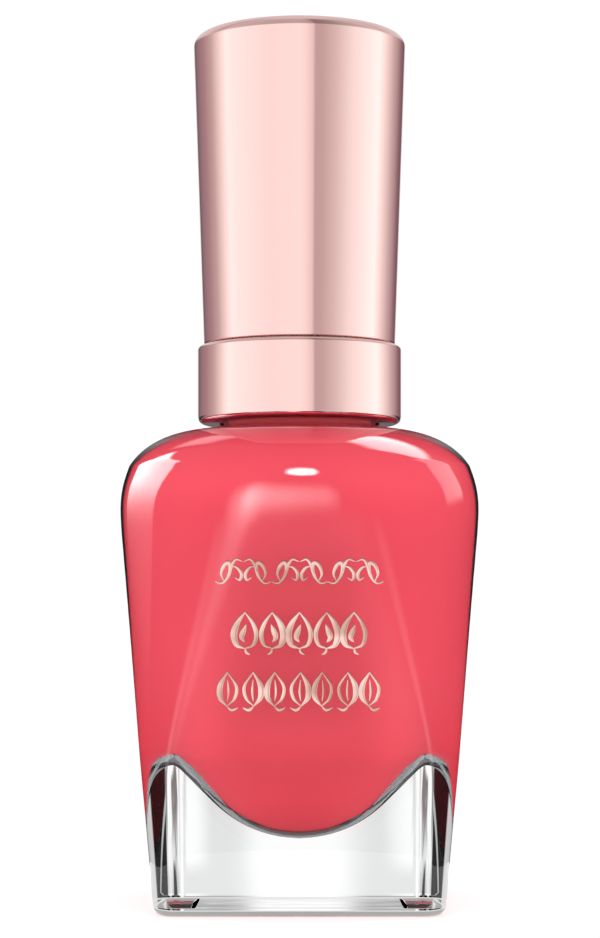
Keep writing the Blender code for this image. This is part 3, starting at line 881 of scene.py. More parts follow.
# ================================================================ bottle
@dataclass
class Flask:
    """The glass bottle, its lacquer and the label under its foot."""

    base_half: float = 13.35 * MM
    shoulder_half: float = 17.1 * MM
    shoulder_height: float = 38.0 * MM
    side_hollow: float = 0.13 * MM
    foot_round: float = 0.9 * MM
    foot_corner: float = 2.0 * MM
    foot_edge_corner: float = 1.3 * MM
    shoulder_flat: float = 3.5 * MM
    corner_opens: float = 13.0 * MM
    corner_ease: float = 0.12
    shoulder_rise: float = 7.25 * MM
    shoulder_fullness: float = 2.25
    wall_spacing: float = 0.3 * MM
    wall_softening: int = 14
    belly: Row = (31.0 * MM, 42.0 * MM)
    belly_softening: int = 60
    neck_radius: float = 7.2 * MM
    neck_blend: float = 1.1 * MM
    bead_height: float = 1.6 * MM
    bead_round: float = 0.3 * MM
    rim_height: float = 59.5 * MM
    bore_radius: float = 4.0 * MM
    rim_round: float = 0.35 * MM
    recess_depth: float = 0.75 * MM
    foot_ring: float = 2.1 * MM
    push_up: tuple[Row, ...] = (
        (0.4, 0.0), (0.8, 0.0), (0.92, 0.0), (0.95, 0.05), (0.975, 0.2), (0.985, 0.5), (1.0, 0.8),
    )
    floor_height: float = 6.9 * MM
    bowl_radius: float = 11.3 * MM
    bowl_spread: float = 45.0
    foot_wall: float = 1.45 * MM
    chamber_foot_round: float = 3.0 * MM
    chamber_top_radius: float = 14.0 * MM
    chamber_spacing: float = 0.35 * MM
    chamber_softening: int = 6
    dome_start: float = 37.0 * MM
    dome_top: float = 43.2 * MM
    dome_fullness: float = 2.1
    bore_blend: float = 1.2 * MM
    throat_flare: float = 0.85 * MM
    throat_lean: float = 0.04
    throat_taper: float = 1.9 * MM
    throat_top: float = 48.6 * MM
    thread_root: float = 6.45 * MM
    thread_crest: float = 7.1 * MM
    thread_pitch: float = 2.117 * MM
    thread_turns: float = 1.5
    thread_top: float = 56.8 * MM
    thread_half: float = 0.55 * MM
    thread_flank: float = 0.33 * MM
    thread_run_out: float = 8.0
    fill_height: float = 50.0 * MM
    lacquer_bite: float = 0.02 * MM
    columns: int = 52
    corner_crowding: float = 0.75

    def side_half(self, height: float) -> float:
        """Half the bottle's width across the flats, below the shoulder.

        Args:
            height: A height above the foot.

        Returns:
            The half-width, a little hollow between foot and shoulder.
        """
        t = height / self.shoulder_height
        straight = self.base_half * (1 - t) + self.shoulder_half * t
        return straight - self.side_hollow * 4 * t * (1 - t)

    def side_flat(self, height: float) -> float:
        """Half the width of the flat in the middle of each side.

        Args:
            height: A height above the foot.

        Returns:
            The half-width, smaller towards the round shoulder.
        """
        foot_flat = self.base_half - self.foot_corner
        t = max(height - self.corner_opens, 0.0) / (self.shoulder_height - self.corner_opens)
        ease = t * t * (1 + self.corner_ease) / (t + self.corner_ease)
        return foot_flat + (self.shoulder_flat - foot_flat) * ease

    def front_depth(self, x: float, height: float) -> float:
        """Distance of the front face from the axis.

        Args:
            x: A place to the side of the middle.
            height: A height above the foot.

        Returns:
            The distance.
        """
        half, flat = self.side_half(height), self.side_flat(height)
        corner = half - flat
        beyond = min(max(abs(x) - flat, 0.0), corner)
        return flat + math.sqrt(corner ** 2 - beyond ** 2)

    def angles(self) -> np.ndarray:
        """Places round the bottle, closer together at the four corners.

        Returns:
            The angles in radians.
        """
        u = np.arange(self.columns) / self.columns * 2 - 1
        quarter = np.radians(45.0) * (1 + (1 - self.corner_crowding) * u + self.corner_crowding * u ** 3)
        return np.concatenate([quarter + k * math.pi / 2 for k in range(4)])

    def outline(self, half: float, flat: float) -> np.ndarray:
        """Distance from the axis to a rounded square.

        Args:
            half: Half its width across the flats.
            flat: Half the width of each flat.

        Returns:
            The distance at each place round the bottle.
        """
        off = np.abs((self.angles() + math.pi / 4) % (math.pi / 2) - math.pi / 4)
        lean = flat * (np.cos(off) + np.sin(off))
        corner = lean + np.sqrt(np.maximum(lean ** 2 - 2 * flat ** 2 + (half - flat) ** 2, 0.0))
        return np.where(half * np.tan(off) <= flat, half / np.cos(off), corner)

    def ring(self, half: float, flat: float, height: float) -> np.ndarray:
        """A rounded square at a height."""
        return circle(self.outline(half, flat), height, self.angles())

    def round_rings(self, rows: Iterable[Row]) -> list[np.ndarray]:
        """Round rings from points in the (radius, height) plane."""
        return [self.ring(radius, 0.0, height) for radius, height in rows]

    def wall_rows(self) -> np.ndarray:
        """The outer wall from the top of the lower rounding to the neck's foot.

        Returns:
            Half-width, half-flat and height, one row for each ring.
        """
        rows = [(self.side_half(z), self.side_flat(z), z)
                for z in np.linspace(self.foot_round, self.shoulder_height, 80, endpoint=False)]
        start = self.neck_radius + self.neck_blend
        for half, z in superellipse((start, self.shoulder_height), self.shoulder_half - start,
                                    self.shoulder_rise, self.shoulder_fullness, 60):
            rise = (z - self.shoulder_height) / self.shoulder_rise
            rows.append((half, self.shoulder_flat * (1 - rise ** 2), z))
        rows = soften(respace(np.array(rows), self.wall_spacing), self.wall_softening)
        low, high = self.belly
        belly = [i for i, row in enumerate(rows) if low < row[2] < high]
        first, last = belly[0], belly[-1]
        rows[first:last] = soften(rows[first:last], self.belly_softening)
        return rows

    def foot_rings(self) -> list[np.ndarray]:
        """The push-up, the flat ring that the bottle stands on and the lower rounding.

        Returns:
            The rings from the middle outwards and up.
        """
        flat = self.base_half - self.foot_corner
        inner = self.base_half - self.foot_round - self.foot_ring
        inner_flat = flat - self.foot_ring
        rings = [self.ring(inner * share, inner_flat * share, self.recess_depth * (1 - drop))
                 for share, drop in self.push_up]
        for out, height in ((0.12 * MM, 0.03 * MM), (0.3 * MM, 0.0)):
            rings.append(self.ring(inner + out, inner_flat + out, height))
        for across, z in arc((0.0, self.foot_round), self.foot_round, -90, 0, 10)[:-1]:
            half = self.side_half(z) - self.foot_round + across
            rings.append(self.ring(half, min(flat, half - self.foot_edge_corner), z))
        return rings

    def thread_height(self, angle: np.ndarray, z: float) -> np.ndarray:
        """How far the thread stands out round the neck.

        Args:
            angle: Places round the neck.
            z: A height.

        Returns:
            The share of the thread's full depth at each place.
        """
        middle = self.thread_top - self.thread_pitch * self.thread_turns / 2
        best = np.zeros_like(angle)
        for turn in range(math.ceil(self.thread_turns)):
            place = (angle + math.tau * turn) / math.tau
            off = np.abs(z - middle - self.thread_pitch * (place - self.thread_turns / 2))
            share = np.clip((self.thread_half - off) / self.thread_flank, 0.0, 1.0)
            to_end = np.minimum(place, self.thread_turns - place)
            run_out = np.clip(to_end * self.thread_run_out, 0.0, 1.0)
            best = np.maximum(best, share * share * (3 - 2 * share) * run_out)
        return best

    def neck_rings(self) -> list[np.ndarray]:
        """The neck's foot, its bead, the thread and the outer half of the rim.

        Returns:
            The rings from the shoulder up.
        """
        bottom = self.shoulder_height + self.shoulder_rise + self.neck_blend
        bead_top = bottom + self.bead_height
        bead = self.bead_round
        rows = arc((self.neck_radius + self.neck_blend, bottom), self.neck_blend, 270, 180, 8)[1:]
        rows += [(self.neck_radius, bead_top - bead)]
        rows += arc((self.neck_radius - bead, bead_top - bead), bead, 20, 90, 3)
        rows += [(self.thread_root + 0.15 * MM, bead_top + 0.02 * MM)]
        rows += [(self.thread_root, bead_top + 0.2 * MM)]
        rings = self.round_rings(rows)
        angles, depth = self.angles(), self.thread_crest - self.thread_root
        for z in np.linspace(bead_top + 0.3 * MM, self.rim_height - 0.8 * MM, 76):
            rings.append(circle(self.thread_root + depth * self.thread_height(angles, z), z, angles))
        rim = (self.thread_root - self.rim_round, self.rim_height - self.rim_round)
        return rings + self.round_rings(arc(rim, self.rim_round, 0, 90, 5))

    def chamber_rows(self) -> list[Row]:
        """The chamber's wall: bowl, side, dome and the throat that narrows to the bore.

        Returns:
            Its points in the (radius, height) plane, from the middle of the floor up.
        """
        centre = self.floor_height + self.bowl_radius
        rows = arc((0.0, centre), self.bowl_radius, -90, -90 + self.bowl_spread, 18)
        spread = math.radians(self.bowl_spread)
        cone_r, cone_z = rows[-1]
        foot_round = self.chamber_foot_round
        centre_r = self.side_half(cone_z) - self.foot_wall - foot_round
        touch_r = centre_r + foot_round * math.sin(spread)
        touch_z = cone_z + (touch_r - cone_r) * math.tan(spread)
        centre_z = touch_z + foot_round * math.cos(spread)
        rows += arc((centre_r, centre_z), foot_round, -90 + self.bowl_spread, 0, 10)
        throat = self.bore_radius + self.throat_flare
        edge = throat + self.bore_blend
        rows += superellipse((edge, self.dome_start), self.chamber_top_radius - edge,
                             self.dome_top - self.dome_start, self.dome_fullness, 40)
        rows += arc((edge, self.dome_top + self.bore_blend), self.bore_blend, 270, 180, 10)[1:]
        rows += [(throat - self.throat_lean * self.throat_flare, self.throat_top - self.throat_taper),
                 (self.bore_radius, self.throat_top)]
        even = soften(respace(np.array(rows), self.chamber_spacing), self.chamber_softening)
        even[0] = (0.0, self.floor_height)
        return [tuple(row) for row in even]

    def build_glass(self, finish: ClearGlass) -> None:
        """Make the glass as one closed shell, outside and inside.

        Args:
            finish: The glass's finish.
        """
        rings = self.foot_rings()
        rings += [self.ring(*row) for row in self.wall_rows()]
        rings += self.neck_rings()
        rim = (self.bore_radius + self.rim_round, self.rim_height - self.rim_round)
        rings += self.round_rings(arc(rim, self.rim_round, 90, 180, 5))
        chamber = self.chamber_rows()
        bore_top, bore_foot = self.rim_height - 1.5 * MM, chamber[-1][1] + 0.6 * MM
        rings += self.round_rings((self.bore_radius, z) for z in np.linspace(bore_top, bore_foot, 12))
        rings += self.round_rings(reversed(chamber[1:]))
        foot, floor = (0.0, 0.0, self.recess_depth), (0.0, 0.0, chamber[0][1])
        settle(skin("flask_glass", rings, finish.material(), foot, floor), "bottle", "glass_bottle")

    def build_lacquer(self, finish: CoralLacquer) -> None:
        """Make the lacquer, pressed a hair into the glass so that no air shows between them.

        Args:
            finish: The lacquer's finish.
        """
        rows = shifted_outwards(self.chamber_rows(), self.lacquer_bite)
        rim, level = self.bore_radius + self.lacquer_bite, self.fill_height
        rings = self.round_rings(rows[1:])
        rings += self.round_rings((rim, z) for z in np.linspace(rows[-1][1] + 0.3 * MM, level, 5))
        meniscus = ((0.96, 0.14), (0.88, 0.22), (0.7, 0.27), (0.35, 0.3))
        rings += self.round_rings((rim * share, level - sink * MM) for share, sink in meniscus)
        low, middle = (0.0, 0.0, rows[0][1] - self.lacquer_bite), (0.0, 0.0, level - meniscus[-1][1] * MM)
        fill = skin("lacquer_fill", rings, finish.material(), low, middle)
        settle(fill, "bottle", "nail_polish")

    def build(self) -> None:
        """Make and dress everything that stays with the bottle."""
        self.build_glass(ClearGlass())
        self.build_lacquer(CoralLacquer())
        dress("base_label", LabelPaper().material())
        steel = BrightSteel().material()
        for ball in ("mixing_ball_1", "mixing_ball_2"):
            dress(ball, steel)


# ================================================================ patterns
class Pattern(Nodes):
    """A Geometry Nodes tree with named inputs, run once and kept as a plain mesh."""

    def __init__(self, name: str, inputs: Sequence[tuple[str, str, object]]) -> None:
        """Start the tree.

        Args:
            name: The finished object's name.
            inputs: Each input's name, socket kind and value; one of them is the Finish.
        """
        group = bpy.data.node_groups.new(name + "_tree", "GeometryNodeTree")
        super().__init__(group)
        self.name = name
        self.values = {}
        for label, kind, value in inputs:
            socket = group.interface.new_socket(label, in_out="INPUT", socket_type="NodeSocket" + kind)
            self.values[socket.identifier] = value
        group.interface.new_socket("Geometry", in_out="OUTPUT", socket_type="NodeSocketGeometry")
        self.entry = self.add("NodeGroupInput")

    def given(self, label: str) -> Wire:
        """One of the tree's inputs."""
        return self.out(self.entry, label)

    def finish(self, geometry: Wire) -> bpy.types.Object:
        """End the tree, run it on an empty mesh and keep what it makes.

        Args:
            geometry: What the tree made, with its instances realized.

        Returns:
            A plain mesh object at the origin.
        """
        values = {"Geometry": geometry, "Material": self.given("Finish")}
        dressed = self.add("GeometryNodeSetMaterial", None, values)
        self.add("NodeGroupOutput", None, {"Geometry": self.out(dressed)})
        carrier = placed(self.name + "_carrier", bpy.data.meshes.new(self.name + "_carrier"))
        modifier = carrier.modifiers.new("pattern", "NODES")
        modifier.node_group = self.tree
        for identifier, value in self.values.items():
            modifier[identifier] = value
        bpy.context.view_layer.update()
        evaluated = carrier.evaluated_get(bpy.context.evaluated_depsgraph_get())
        mesh = bpy.data.meshes.new_from_object(evaluated)
        carrier.modifiers.clear()
        bpy.data.objects.remove(carrier)
        mesh.name = self.name
        return placed(self.name, mesh)


# ================================================================ foil ornament
class Motif(Enum):
    """The three ornaments that the rows repeat."""

    TENDRIL = "tendril"
    BUD = "bud"
    LEAF = "leaf"


@dataclass(frozen=True)
class Stroke:
    """A brush-like stroke in millimetres: thin at its ends and full in the middle."""

    points: tuple[Row, ...]
    thin: float
    full: float
    swell: float = 1.0
    steps: int = 28
    section: tuple[Row, ...] = (
        (-1.0, 0.0), (-0.82, 0.7), (-0.35, 1.0), (0.35, 1.0), (0.82, 0.7), (1.0, 0.0),
    )

    def centreline(self) -> np.ndarray:
        """A smooth line through the stroke's points.

        Returns:
            Its points in metres, one a row.
        """
        own = np.array(self.points, float) * MM
        places = np.linspace(0, len(own) - 1, self.steps + 1)
        padded = np.vstack([2 * own[0] - own[1], own, 2 * own[-1] - own[-2]])
        out = []
        for place in places:
            k = min(int(place), len(own) - 2)
            t = place - k
            p0, p1, p2, p3 = padded[k:k + 4]
            out.append(0.5 * (2 * p1 + (p2 - p0) * t + (2 * p0 - 5 * p1 + 4 * p2 - p3) * t ** 2
                              + (3 * p1 - p0 - 3 * p2 + p3) * t ** 3))
        return np.array(out)

    def rings(self, relief: float) -> list[np.ndarray]:
        """Cross-sections of the raised stroke, flat below and crowned above.

        Args:
            relief: How far the stroke stands up, in metres.

        Returns:
            The sections from one end of the stroke to the other.
        """
        line = self.centreline()
        along = np.gradient(line, axis=0)
        along /= np.linalg.norm(along, axis=1)[:, None]
        side = np.stack([-along[:, 1], along[:, 0]], axis=1)
        rings = []
        for i, (point, across) in enumerate(zip(line, side)):
            t = i / (len(line) - 1)
            fullness = math.sin(math.pi * t) ** self.swell
            half = 0.5 * (self.thin + (self.full - self.thin) * fullness) * MM
            ring = [(point[0] + across[0] * half * s, -relief * up, point[1] + across[1] * half * s)
                    for s, up in self.section]
            rings.append(np.array(ring))
        return rings


STROKES: dict[Motif, tuple[Stroke, ...]] = {
    Motif.TENDRIL: (
        Stroke(((-1.35, -0.75), (-0.75, -0.95), (-0.1, -0.35), (0.3, 0.55), (0.75, 1.0), (1.3, 0.75)),
               0.125, 0.312),
        Stroke(((-0.55, -0.8), (-0.75, -0.1), (-0.35, 0.65), (0.1, 0.75), (0.05, 0.1), (-0.3, -0.5)),
               0.1, 0.39),
        Stroke(((0.25, 0.45), (0.75, 0.25), (1.05, -0.35), (0.85, -0.85), (0.45, -0.6)), 0.1, 0.338),
    ),
    Motif.BUD: (
        Stroke(((0.0, -1.5), (-0.75, -1.15), (-1.0, -0.2), (-0.65, 0.85), (0.0, 1.75)), 0.15, 0.65),
        Stroke(((0.0, -1.5), (0.75, -1.15), (1.0, -0.2), (0.65, 0.85), (0.0, 1.75)), 0.15, 0.442),
        Stroke(((0.0, -0.95), (-0.3, -0.5), (-0.12, 0.1), (0.1, 0.65)), 0.075, 0.546, 0.8),
        Stroke(((0.0, -1.5), (0.12, -1.85), (0.45, -2.05)), 0.125, 0.286),
    ),
    Motif.LEAF: (
        Stroke(((-0.15, -1.6), (-0.75, -0.8), (-0.72, 0.3), (-0.1, 1.45)), 0.15, 0.572),
        Stroke(((-0.15, -1.6), (0.55, -0.9), (0.7, 0.2), (-0.1, 1.45)), 0.125, 0.338),
        Stroke(((-0.1, -1.15), (0.0, -0.3), (-0.08, 0.75)), 0.1, 0.234),
        Stroke(((-0.15, -1.6), (0.3, -1.95), (0.85, -1.75)), 0.125, 0.338),
    ),
}


@dataclass
class FoilRow:
    """One row of the ornament on the front of the glass; every other ornament is mirrored."""

    node: str
    motif: Motif
    middle: float
    half_length: float
    count: int
    tilt: float = 0.0


@dataclass
class FoilOrnament:
    """Three rows of foil leaves, buds and tendrils that hug the glass."""

    flask: Flask
    relief: float = 0.10 * MM
    lift: float = 0.01 * MM
    crisp: float = 60.0
    rows: tuple[FoilRow, ...] = (
        FoilRow("foil_vine", Motif.TENDRIL, 31.4 * MM, 6.3 * MM, 6, -0.12),
        FoilRow("foil_buds", Motif.BUD, 26.0 * MM, 4.9 * MM, 5),
        FoilRow("foil_leaves", Motif.LEAF, 20.9 * MM, 6.4 * MM, 7),
    )

    def motif_object(self, row: FoilRow, material: bpy.types.Material) -> bpy.types.Object:
        """Make one ornament as a small relief about the origin.

        Args:
            row: The row that repeats it.
            material: The foil.

        Returns:
            The ornament.
        """
        points, faces = [], []
        for stroke in STROKES[row.motif]:
            rings = stroke.rings(self.relief)
            base, count = len(points), len(rings[0])
            last = base + (len(rings) - 1) * count
            points += [tuple(p) for ring in rings for p in ring]
            faces += band_faces(len(rings), count, base)
            faces += [tuple(end + i for i in range(count)) for end in (base, last)]
        return mesh_object(f"{row.node}_ornament", points, faces, material, self.crisp)

    @staticmethod
    def repeat(row: FoilRow, ornament: bpy.types.Object, material: bpy.types.Material) -> bpy.types.Object:
        """Repeat an ornament along a straight line with a Geometry Nodes tree.

        Args:
            row: The row's sizes.
            ornament: The ornament.
            material: The foil.

        Returns:
            The row, still flat and about the origin.
        """
        nodes = Pattern(f"{row.node}_relief", (
            ("Ornament", "Object", ornament), ("Count", "Int", row.count),
            ("Half Length", "Float", row.half_length), ("Tilt", "Float", row.tilt),
            ("Finish", "Material", material),
        ))
        count, half = nodes.given("Count"), nodes.given("Half Length")
        start, step = nodes.combine(X=0.0 - half), nodes.combine(X=half * 2.0 / (count - 1.0))
        line = nodes.add("GeometryNodeMeshLine", {"mode": "OFFSET"},
                         {"Count": count, "Start Location": start, "Offset": step})
        odd = nodes.math("MODULO", nodes.out(nodes.add("GeometryNodeInputIndex")), 2.0)
        side = 1.0 - 2.0 * odd
        source = nodes.add("GeometryNodeObjectInfo", None, {"Object": nodes.given("Ornament")})
        spread = nodes.add("GeometryNodeInstanceOnPoints", None, {
            "Points": nodes.out(line), "Instance": nodes.out(source, "Geometry"),
            "Rotation": nodes.combine(Y=nodes.given("Tilt") * side),
            "Scale": nodes.combine(X=side, Y=1.0, Z=1.0),
        })
        real = nodes.add("GeometryNodeRealizeInstances", None, {"Geometry": nodes.out(spread)})
        return nodes.finish(nodes.out(real))

    def build(self) -> None:
        """Make the rows and lay them on the front of the glass."""
        material = PressedFoil().material()
        for row in self.rows:
            ornament = self.motif_object(row, material)
            piece = self.repeat(row, ornament, material)
            bpy.data.objects.remove(ornament)
            for vertex in piece.data.vertices:
                x, out, up = vertex.co
                z = row.middle + up
                vertex.co = (x, -self.flask.front_depth(x, z) - self.lift + out, z)
            turned_outwards(piece.data, self.crisp)
            settle(piece, "bottle", row.node)


# ================================================================ closure
@dataclass
class Closure:
    """Collar, tapered handle, screw cap and seal.

    The shares place extra rows close to both ends of a straight wall, which keeps its shading flat.
    """

    collar_radius: float = 9.82 * MM
    collar_bottom: float = 45.85 * MM
    collar_top: float = 53.3 * MM
    collar_round: float = 0.4 * MM
    collar_foot_round: float = 0.7 * MM
    collar_wall: float = 0.85 * MM
    collar_shares: tuple[float, ...] = (0.01, 0.05, 0.5, 0.95, 0.99)
    lip_radius: float = 7.7 * MM
    lip_height: float = 0.85 * MM
    lip_bevel: float = 0.1 * MM
    handle_bottom: float = 53.4 * MM
    handle_top: float = 83.0 * MM
    handle_foot_radius: float = 9.23 * MM
    handle_top_radius: float = 10.2 * MM
    handle_wall: float = 0.7 * MM
    handle_roof: float = 1.0 * MM
    handle_shares: tuple[float, ...] = (0.005, 0.02, 0.25, 0.5, 0.75, 0.98, 0.996, 1.0)
    top_shares: tuple[float, ...] = (0.3, 0.6, 0.85)
    top_round: float = 1.0 * MM
    foot_round: float = 0.2 * MM

    def build_collar(self, material: bpy.types.Material) -> None:
        """Make the ring, turned in under the cap.

        Args:
            material: The metal.
        """
        rounding, foot, radius = self.collar_round, self.collar_foot_round, self.collar_radius
        bottom, top = self.collar_bottom, self.collar_top
        rows = [(self.lip_radius, bottom + self.lip_bevel), (self.lip_radius + self.lip_bevel, bottom)]
        rows += arc((radius - foot, bottom + foot), foot, -90, 0, 12)
        wall = top - bottom - rounding - foot
        rows += [(radius, bottom + foot + wall * share) for share in self.collar_shares]
        rows += arc((radius - rounding, top - rounding), rounding, 0, 90, 10)
        inner, lip_top = radius - self.collar_wall, bottom + self.lip_height
        rows += [(inner, top), (inner, lip_top), (self.lip_radius, lip_top)]
        settle(turned("collar_band", rows, material), "collar", "collar_ring")

    def build_handle(self, material: bpy.types.Material) -> None:
        """Make the tapered shell with its rounded top edge.

        Args:
            material: The metal.
        """
        top, foot = self.top_round, self.foot_round
        rows = [(0.0, self.handle_top)]
        rows += [(self.handle_top_radius * share, self.handle_top) for share in self.top_shares]
        rows += reversed(arc((self.handle_top_radius - top, self.handle_top - top), top, 0, 90, 12))
        high, low = rows[-1], (self.handle_foot_radius, self.handle_bottom + foot)
        rows += [(high[0] + (low[0] - high[0]) * share, high[1] + (low[1] - high[1]) * share)
                 for share in self.handle_shares]
        rows += arc((low[0] - foot, low[1]), foot, 0, -90, 4)[1:]
        rows += [(self.handle_foot_radius - self.handle_wall, self.handle_bottom)]
        ceiling = self.handle_top - self.handle_roof
        rows += [(self.handle_top_radius - self.handle_wall, ceiling), (0.0, ceiling)]
        settle(turned("handle_shell", rows, material), "cap", "cap_handle")

    def build(self) -> None:
        """Make and dress the closure."""
        material = RoseGold().material()
        self.build_collar(material)
        self.build_handle(material)
        cap = MouldedPlastic("cap_plastic", (0.84, 0.82, 0.79))
        foam = MouldedPlastic("seal_foam", (0.88, 0.88, 0.86), roughness=0.7, grain_scale=2600.0)
        dress("inner_cap", cap.material())
        dress("seal_washer", foam.material())


# ================================================================ brush
@dataclass
class Brush:
    """Stem, staple and hair."""

    stem_bottom: float = 24.0 * MM
    tuft_length: float = 11.9 * MM
    socket_depth: float = 5.5 * MM
    socket_share: float = 0.6
    half_width: float = 1.85 * MM
    half_depth: float = 1.1 * MM
    root_radius: float = 0.9 * MM
    hairs: int = 260
    hair_steps: int = 8
    hair_sides: int = 5
    hair_radius: float = 0.055 * MM
    golden_angle: float = 2.39996
    jitter: float = 0.05
    seed: int = 7
    dome_across: float = 0.16
    dome_deep: float = 0.05
    dome_limit: float = 0.4
    fan_ends: float = 0.75
    tip_closes: Row = (0.72, 1.02)
    tip_narrows: float = 0.55
    crisp: float = 60.0

    def build_hair(self, material: bpy.types.Material) -> None:
        """Grow the hair from the socket with a Geometry Nodes tree.

        The roots lie on a sunflower spiral of radius 1. Each hair runs straight down and is then bent
        into the brush's shape: fanned out sideways, closed in towards its tip and cut to a dome.

        Args:
            material: The hair's finish.
        """
        in_socket = self.socket_depth * self.socket_share
        nodes = Pattern("brush_hair", (
            ("Hairs", "Int", self.hairs), ("Root Radius", "Float", self.root_radius),
            ("Length", "Float", self.tuft_length + in_socket), ("Free Length", "Float", self.tuft_length),
            ("Top", "Float", self.stem_bottom + in_socket),
            ("Spread Across", "Float", self.half_width / self.root_radius),
            ("Spread Deep", "Float", self.half_depth / self.root_radius),
            ("Hair Radius", "Float", self.hair_radius), ("Seed", "Int", self.seed),
            ("Finish", "Material", material),
        ))
        hairs, radius, length = nodes.given("Hairs"), nodes.given("Root Radius"), nodes.given("Length")
        free_length = nodes.given("Free Length")

        index = nodes.out(nodes.add("GeometryNodeInputIndex"))
        line = nodes.add("GeometryNodeMeshLine", {"mode": "OFFSET"}, {"Count": hairs})
        values = {"Min": -self.jitter, "Max": self.jitter, "ID": index, "Seed": nodes.given("Seed")}
        jitter = nodes.out(nodes.add("FunctionNodeRandomValue", {"data_type": "FLOAT"}, values), 1)
        reach = nodes.math("SQRT", (index + 0.5) / hairs) + jitter
        angle = index * self.golden_angle
        root = nodes.combine(X=nodes.math("COSINE", angle) * reach, Y=nodes.math("SINE", angle) * reach)
        roots = nodes.add("GeometryNodeSetPosition", None, {"Geometry": nodes.out(line), "Position": root})
        values = {"Start": (0.0, 0.0, 0.0), "End": (0.0, 0.0, -1.0)}
        strand = nodes.out(nodes.add("GeometryNodeCurvePrimitiveLine", None, values))
        fine = nodes.add("GeometryNodeResampleCurve", None, {"Curve": strand, "Count": self.hair_steps})
        spread = nodes.add("GeometryNodeInstanceOnPoints", None,
                           {"Points": nodes.out(roots), "Instance": nodes.out(fine)})
        real = nodes.add("GeometryNodeRealizeInstances", None, {"Geometry": nodes.out(spread)})

        x, y, z = nodes.separate(nodes.out(nodes.add("GeometryNodeInputPosition")))
        dome = nodes.math("MINIMUM", x * x * self.dome_across + y * y * self.dome_deep, self.dome_limit)
        depth = (0.0 - z) * length * (1.0 - dome)
        free = nodes.math("MAXIMUM", depth - (length - free_length), 0.0) / free_length
        fan = nodes.ease(free, 0.0, self.fan_ends)
        closing = 1.0 - nodes.ease(free, *self.tip_closes) * self.tip_narrows
        across = radius * (1.0 + (nodes.given("Spread Across") - 1.0) * fan) * closing
        deep = radius * (1.0 + (nodes.given("Spread Deep") - 1.0) * fan) * closing
        place = nodes.combine(X=x * across, Y=y * deep, Z=nodes.given("Top") - depth)
        bent = nodes.add("GeometryNodeSetPosition", None, {"Geometry": nodes.out(real), "Position": place})
        values = {"Resolution": self.hair_sides, "Radius": nodes.given("Hair Radius")}
        section = nodes.add("GeometryNodeCurvePrimitiveCircle", None, values)
        tubes = nodes.add("GeometryNodeCurveToMesh", None, {
            "Curve": nodes.out(bent), "Profile Curve": nodes.out(section), "Fill Caps": True})
        hair = nodes.finish(nodes.out(tubes))
        turned_outwards(hair.data, self.crisp)
        settle(hair, "cap", "bristle_tuft")

    def build(self) -> None:
        """Make and dress the brush."""
        dress("brush_stem", WetWithLacquer("stem_plastic", (0.03, 0.03, 0.033)).material())
        dress("bristle_staple", BrightSteel().material())
        self.build_hair(WetWithLacquer("bristle_hair", (0.05, 0.045, 0.045), cover=0.75).material())


# ================================================================ studio
@dataclass(frozen=True)
class Panel:
    """A soft-edged lamp in the surroundings, in degrees; azimuth 0 is the camera's side."""

    left: float
    right: float
    low: float
    high: float
    soft_side: float
    soft_low: float
    soft_high: float
    strength: float

    def light(self, nodes: Nodes, azimuth: Wire, height: Wire) -> Wire:
        """How bright the lamp is in a direction.

        Args:
            nodes: The world's tree.
            azimuth: The direction's azimuth in degrees.
            height: Its height in degrees.

        Returns:
            The light.
        """
        mask = nodes.ease(azimuth, self.left, self.left + self.soft_side)
        mask = mask * nodes.ease(azimuth, self.right, self.right - self.soft_side)
        mask = mask * nodes.ease(height, self.low, self.low + self.soft_low)
        return mask * nodes.ease(height, self.high, self.high - self.soft_high) * self.strength


@dataclass(frozen=True)
class Oval:
    """A round lamp in the surroundings, in degrees; its core is the share that is at full strength."""

    azimuth: float
    height: float
    half_side: float
    half_up: float
    core: float
    strength: float

    def light(self, nodes: Nodes, azimuth: Wire, height: Wire) -> Wire:
        """How bright the lamp is in a direction.

        Args:
            nodes: The world's tree.
            azimuth: The direction's azimuth in degrees.
            height: Its height in degrees.

        Returns:
            The light.
        """
        away = nodes.length((azimuth - self.azimuth) / self.half_side, (height - self.height) / self.half_up)
        return nodes.ease(away, 1.0, self.core) * self.strength


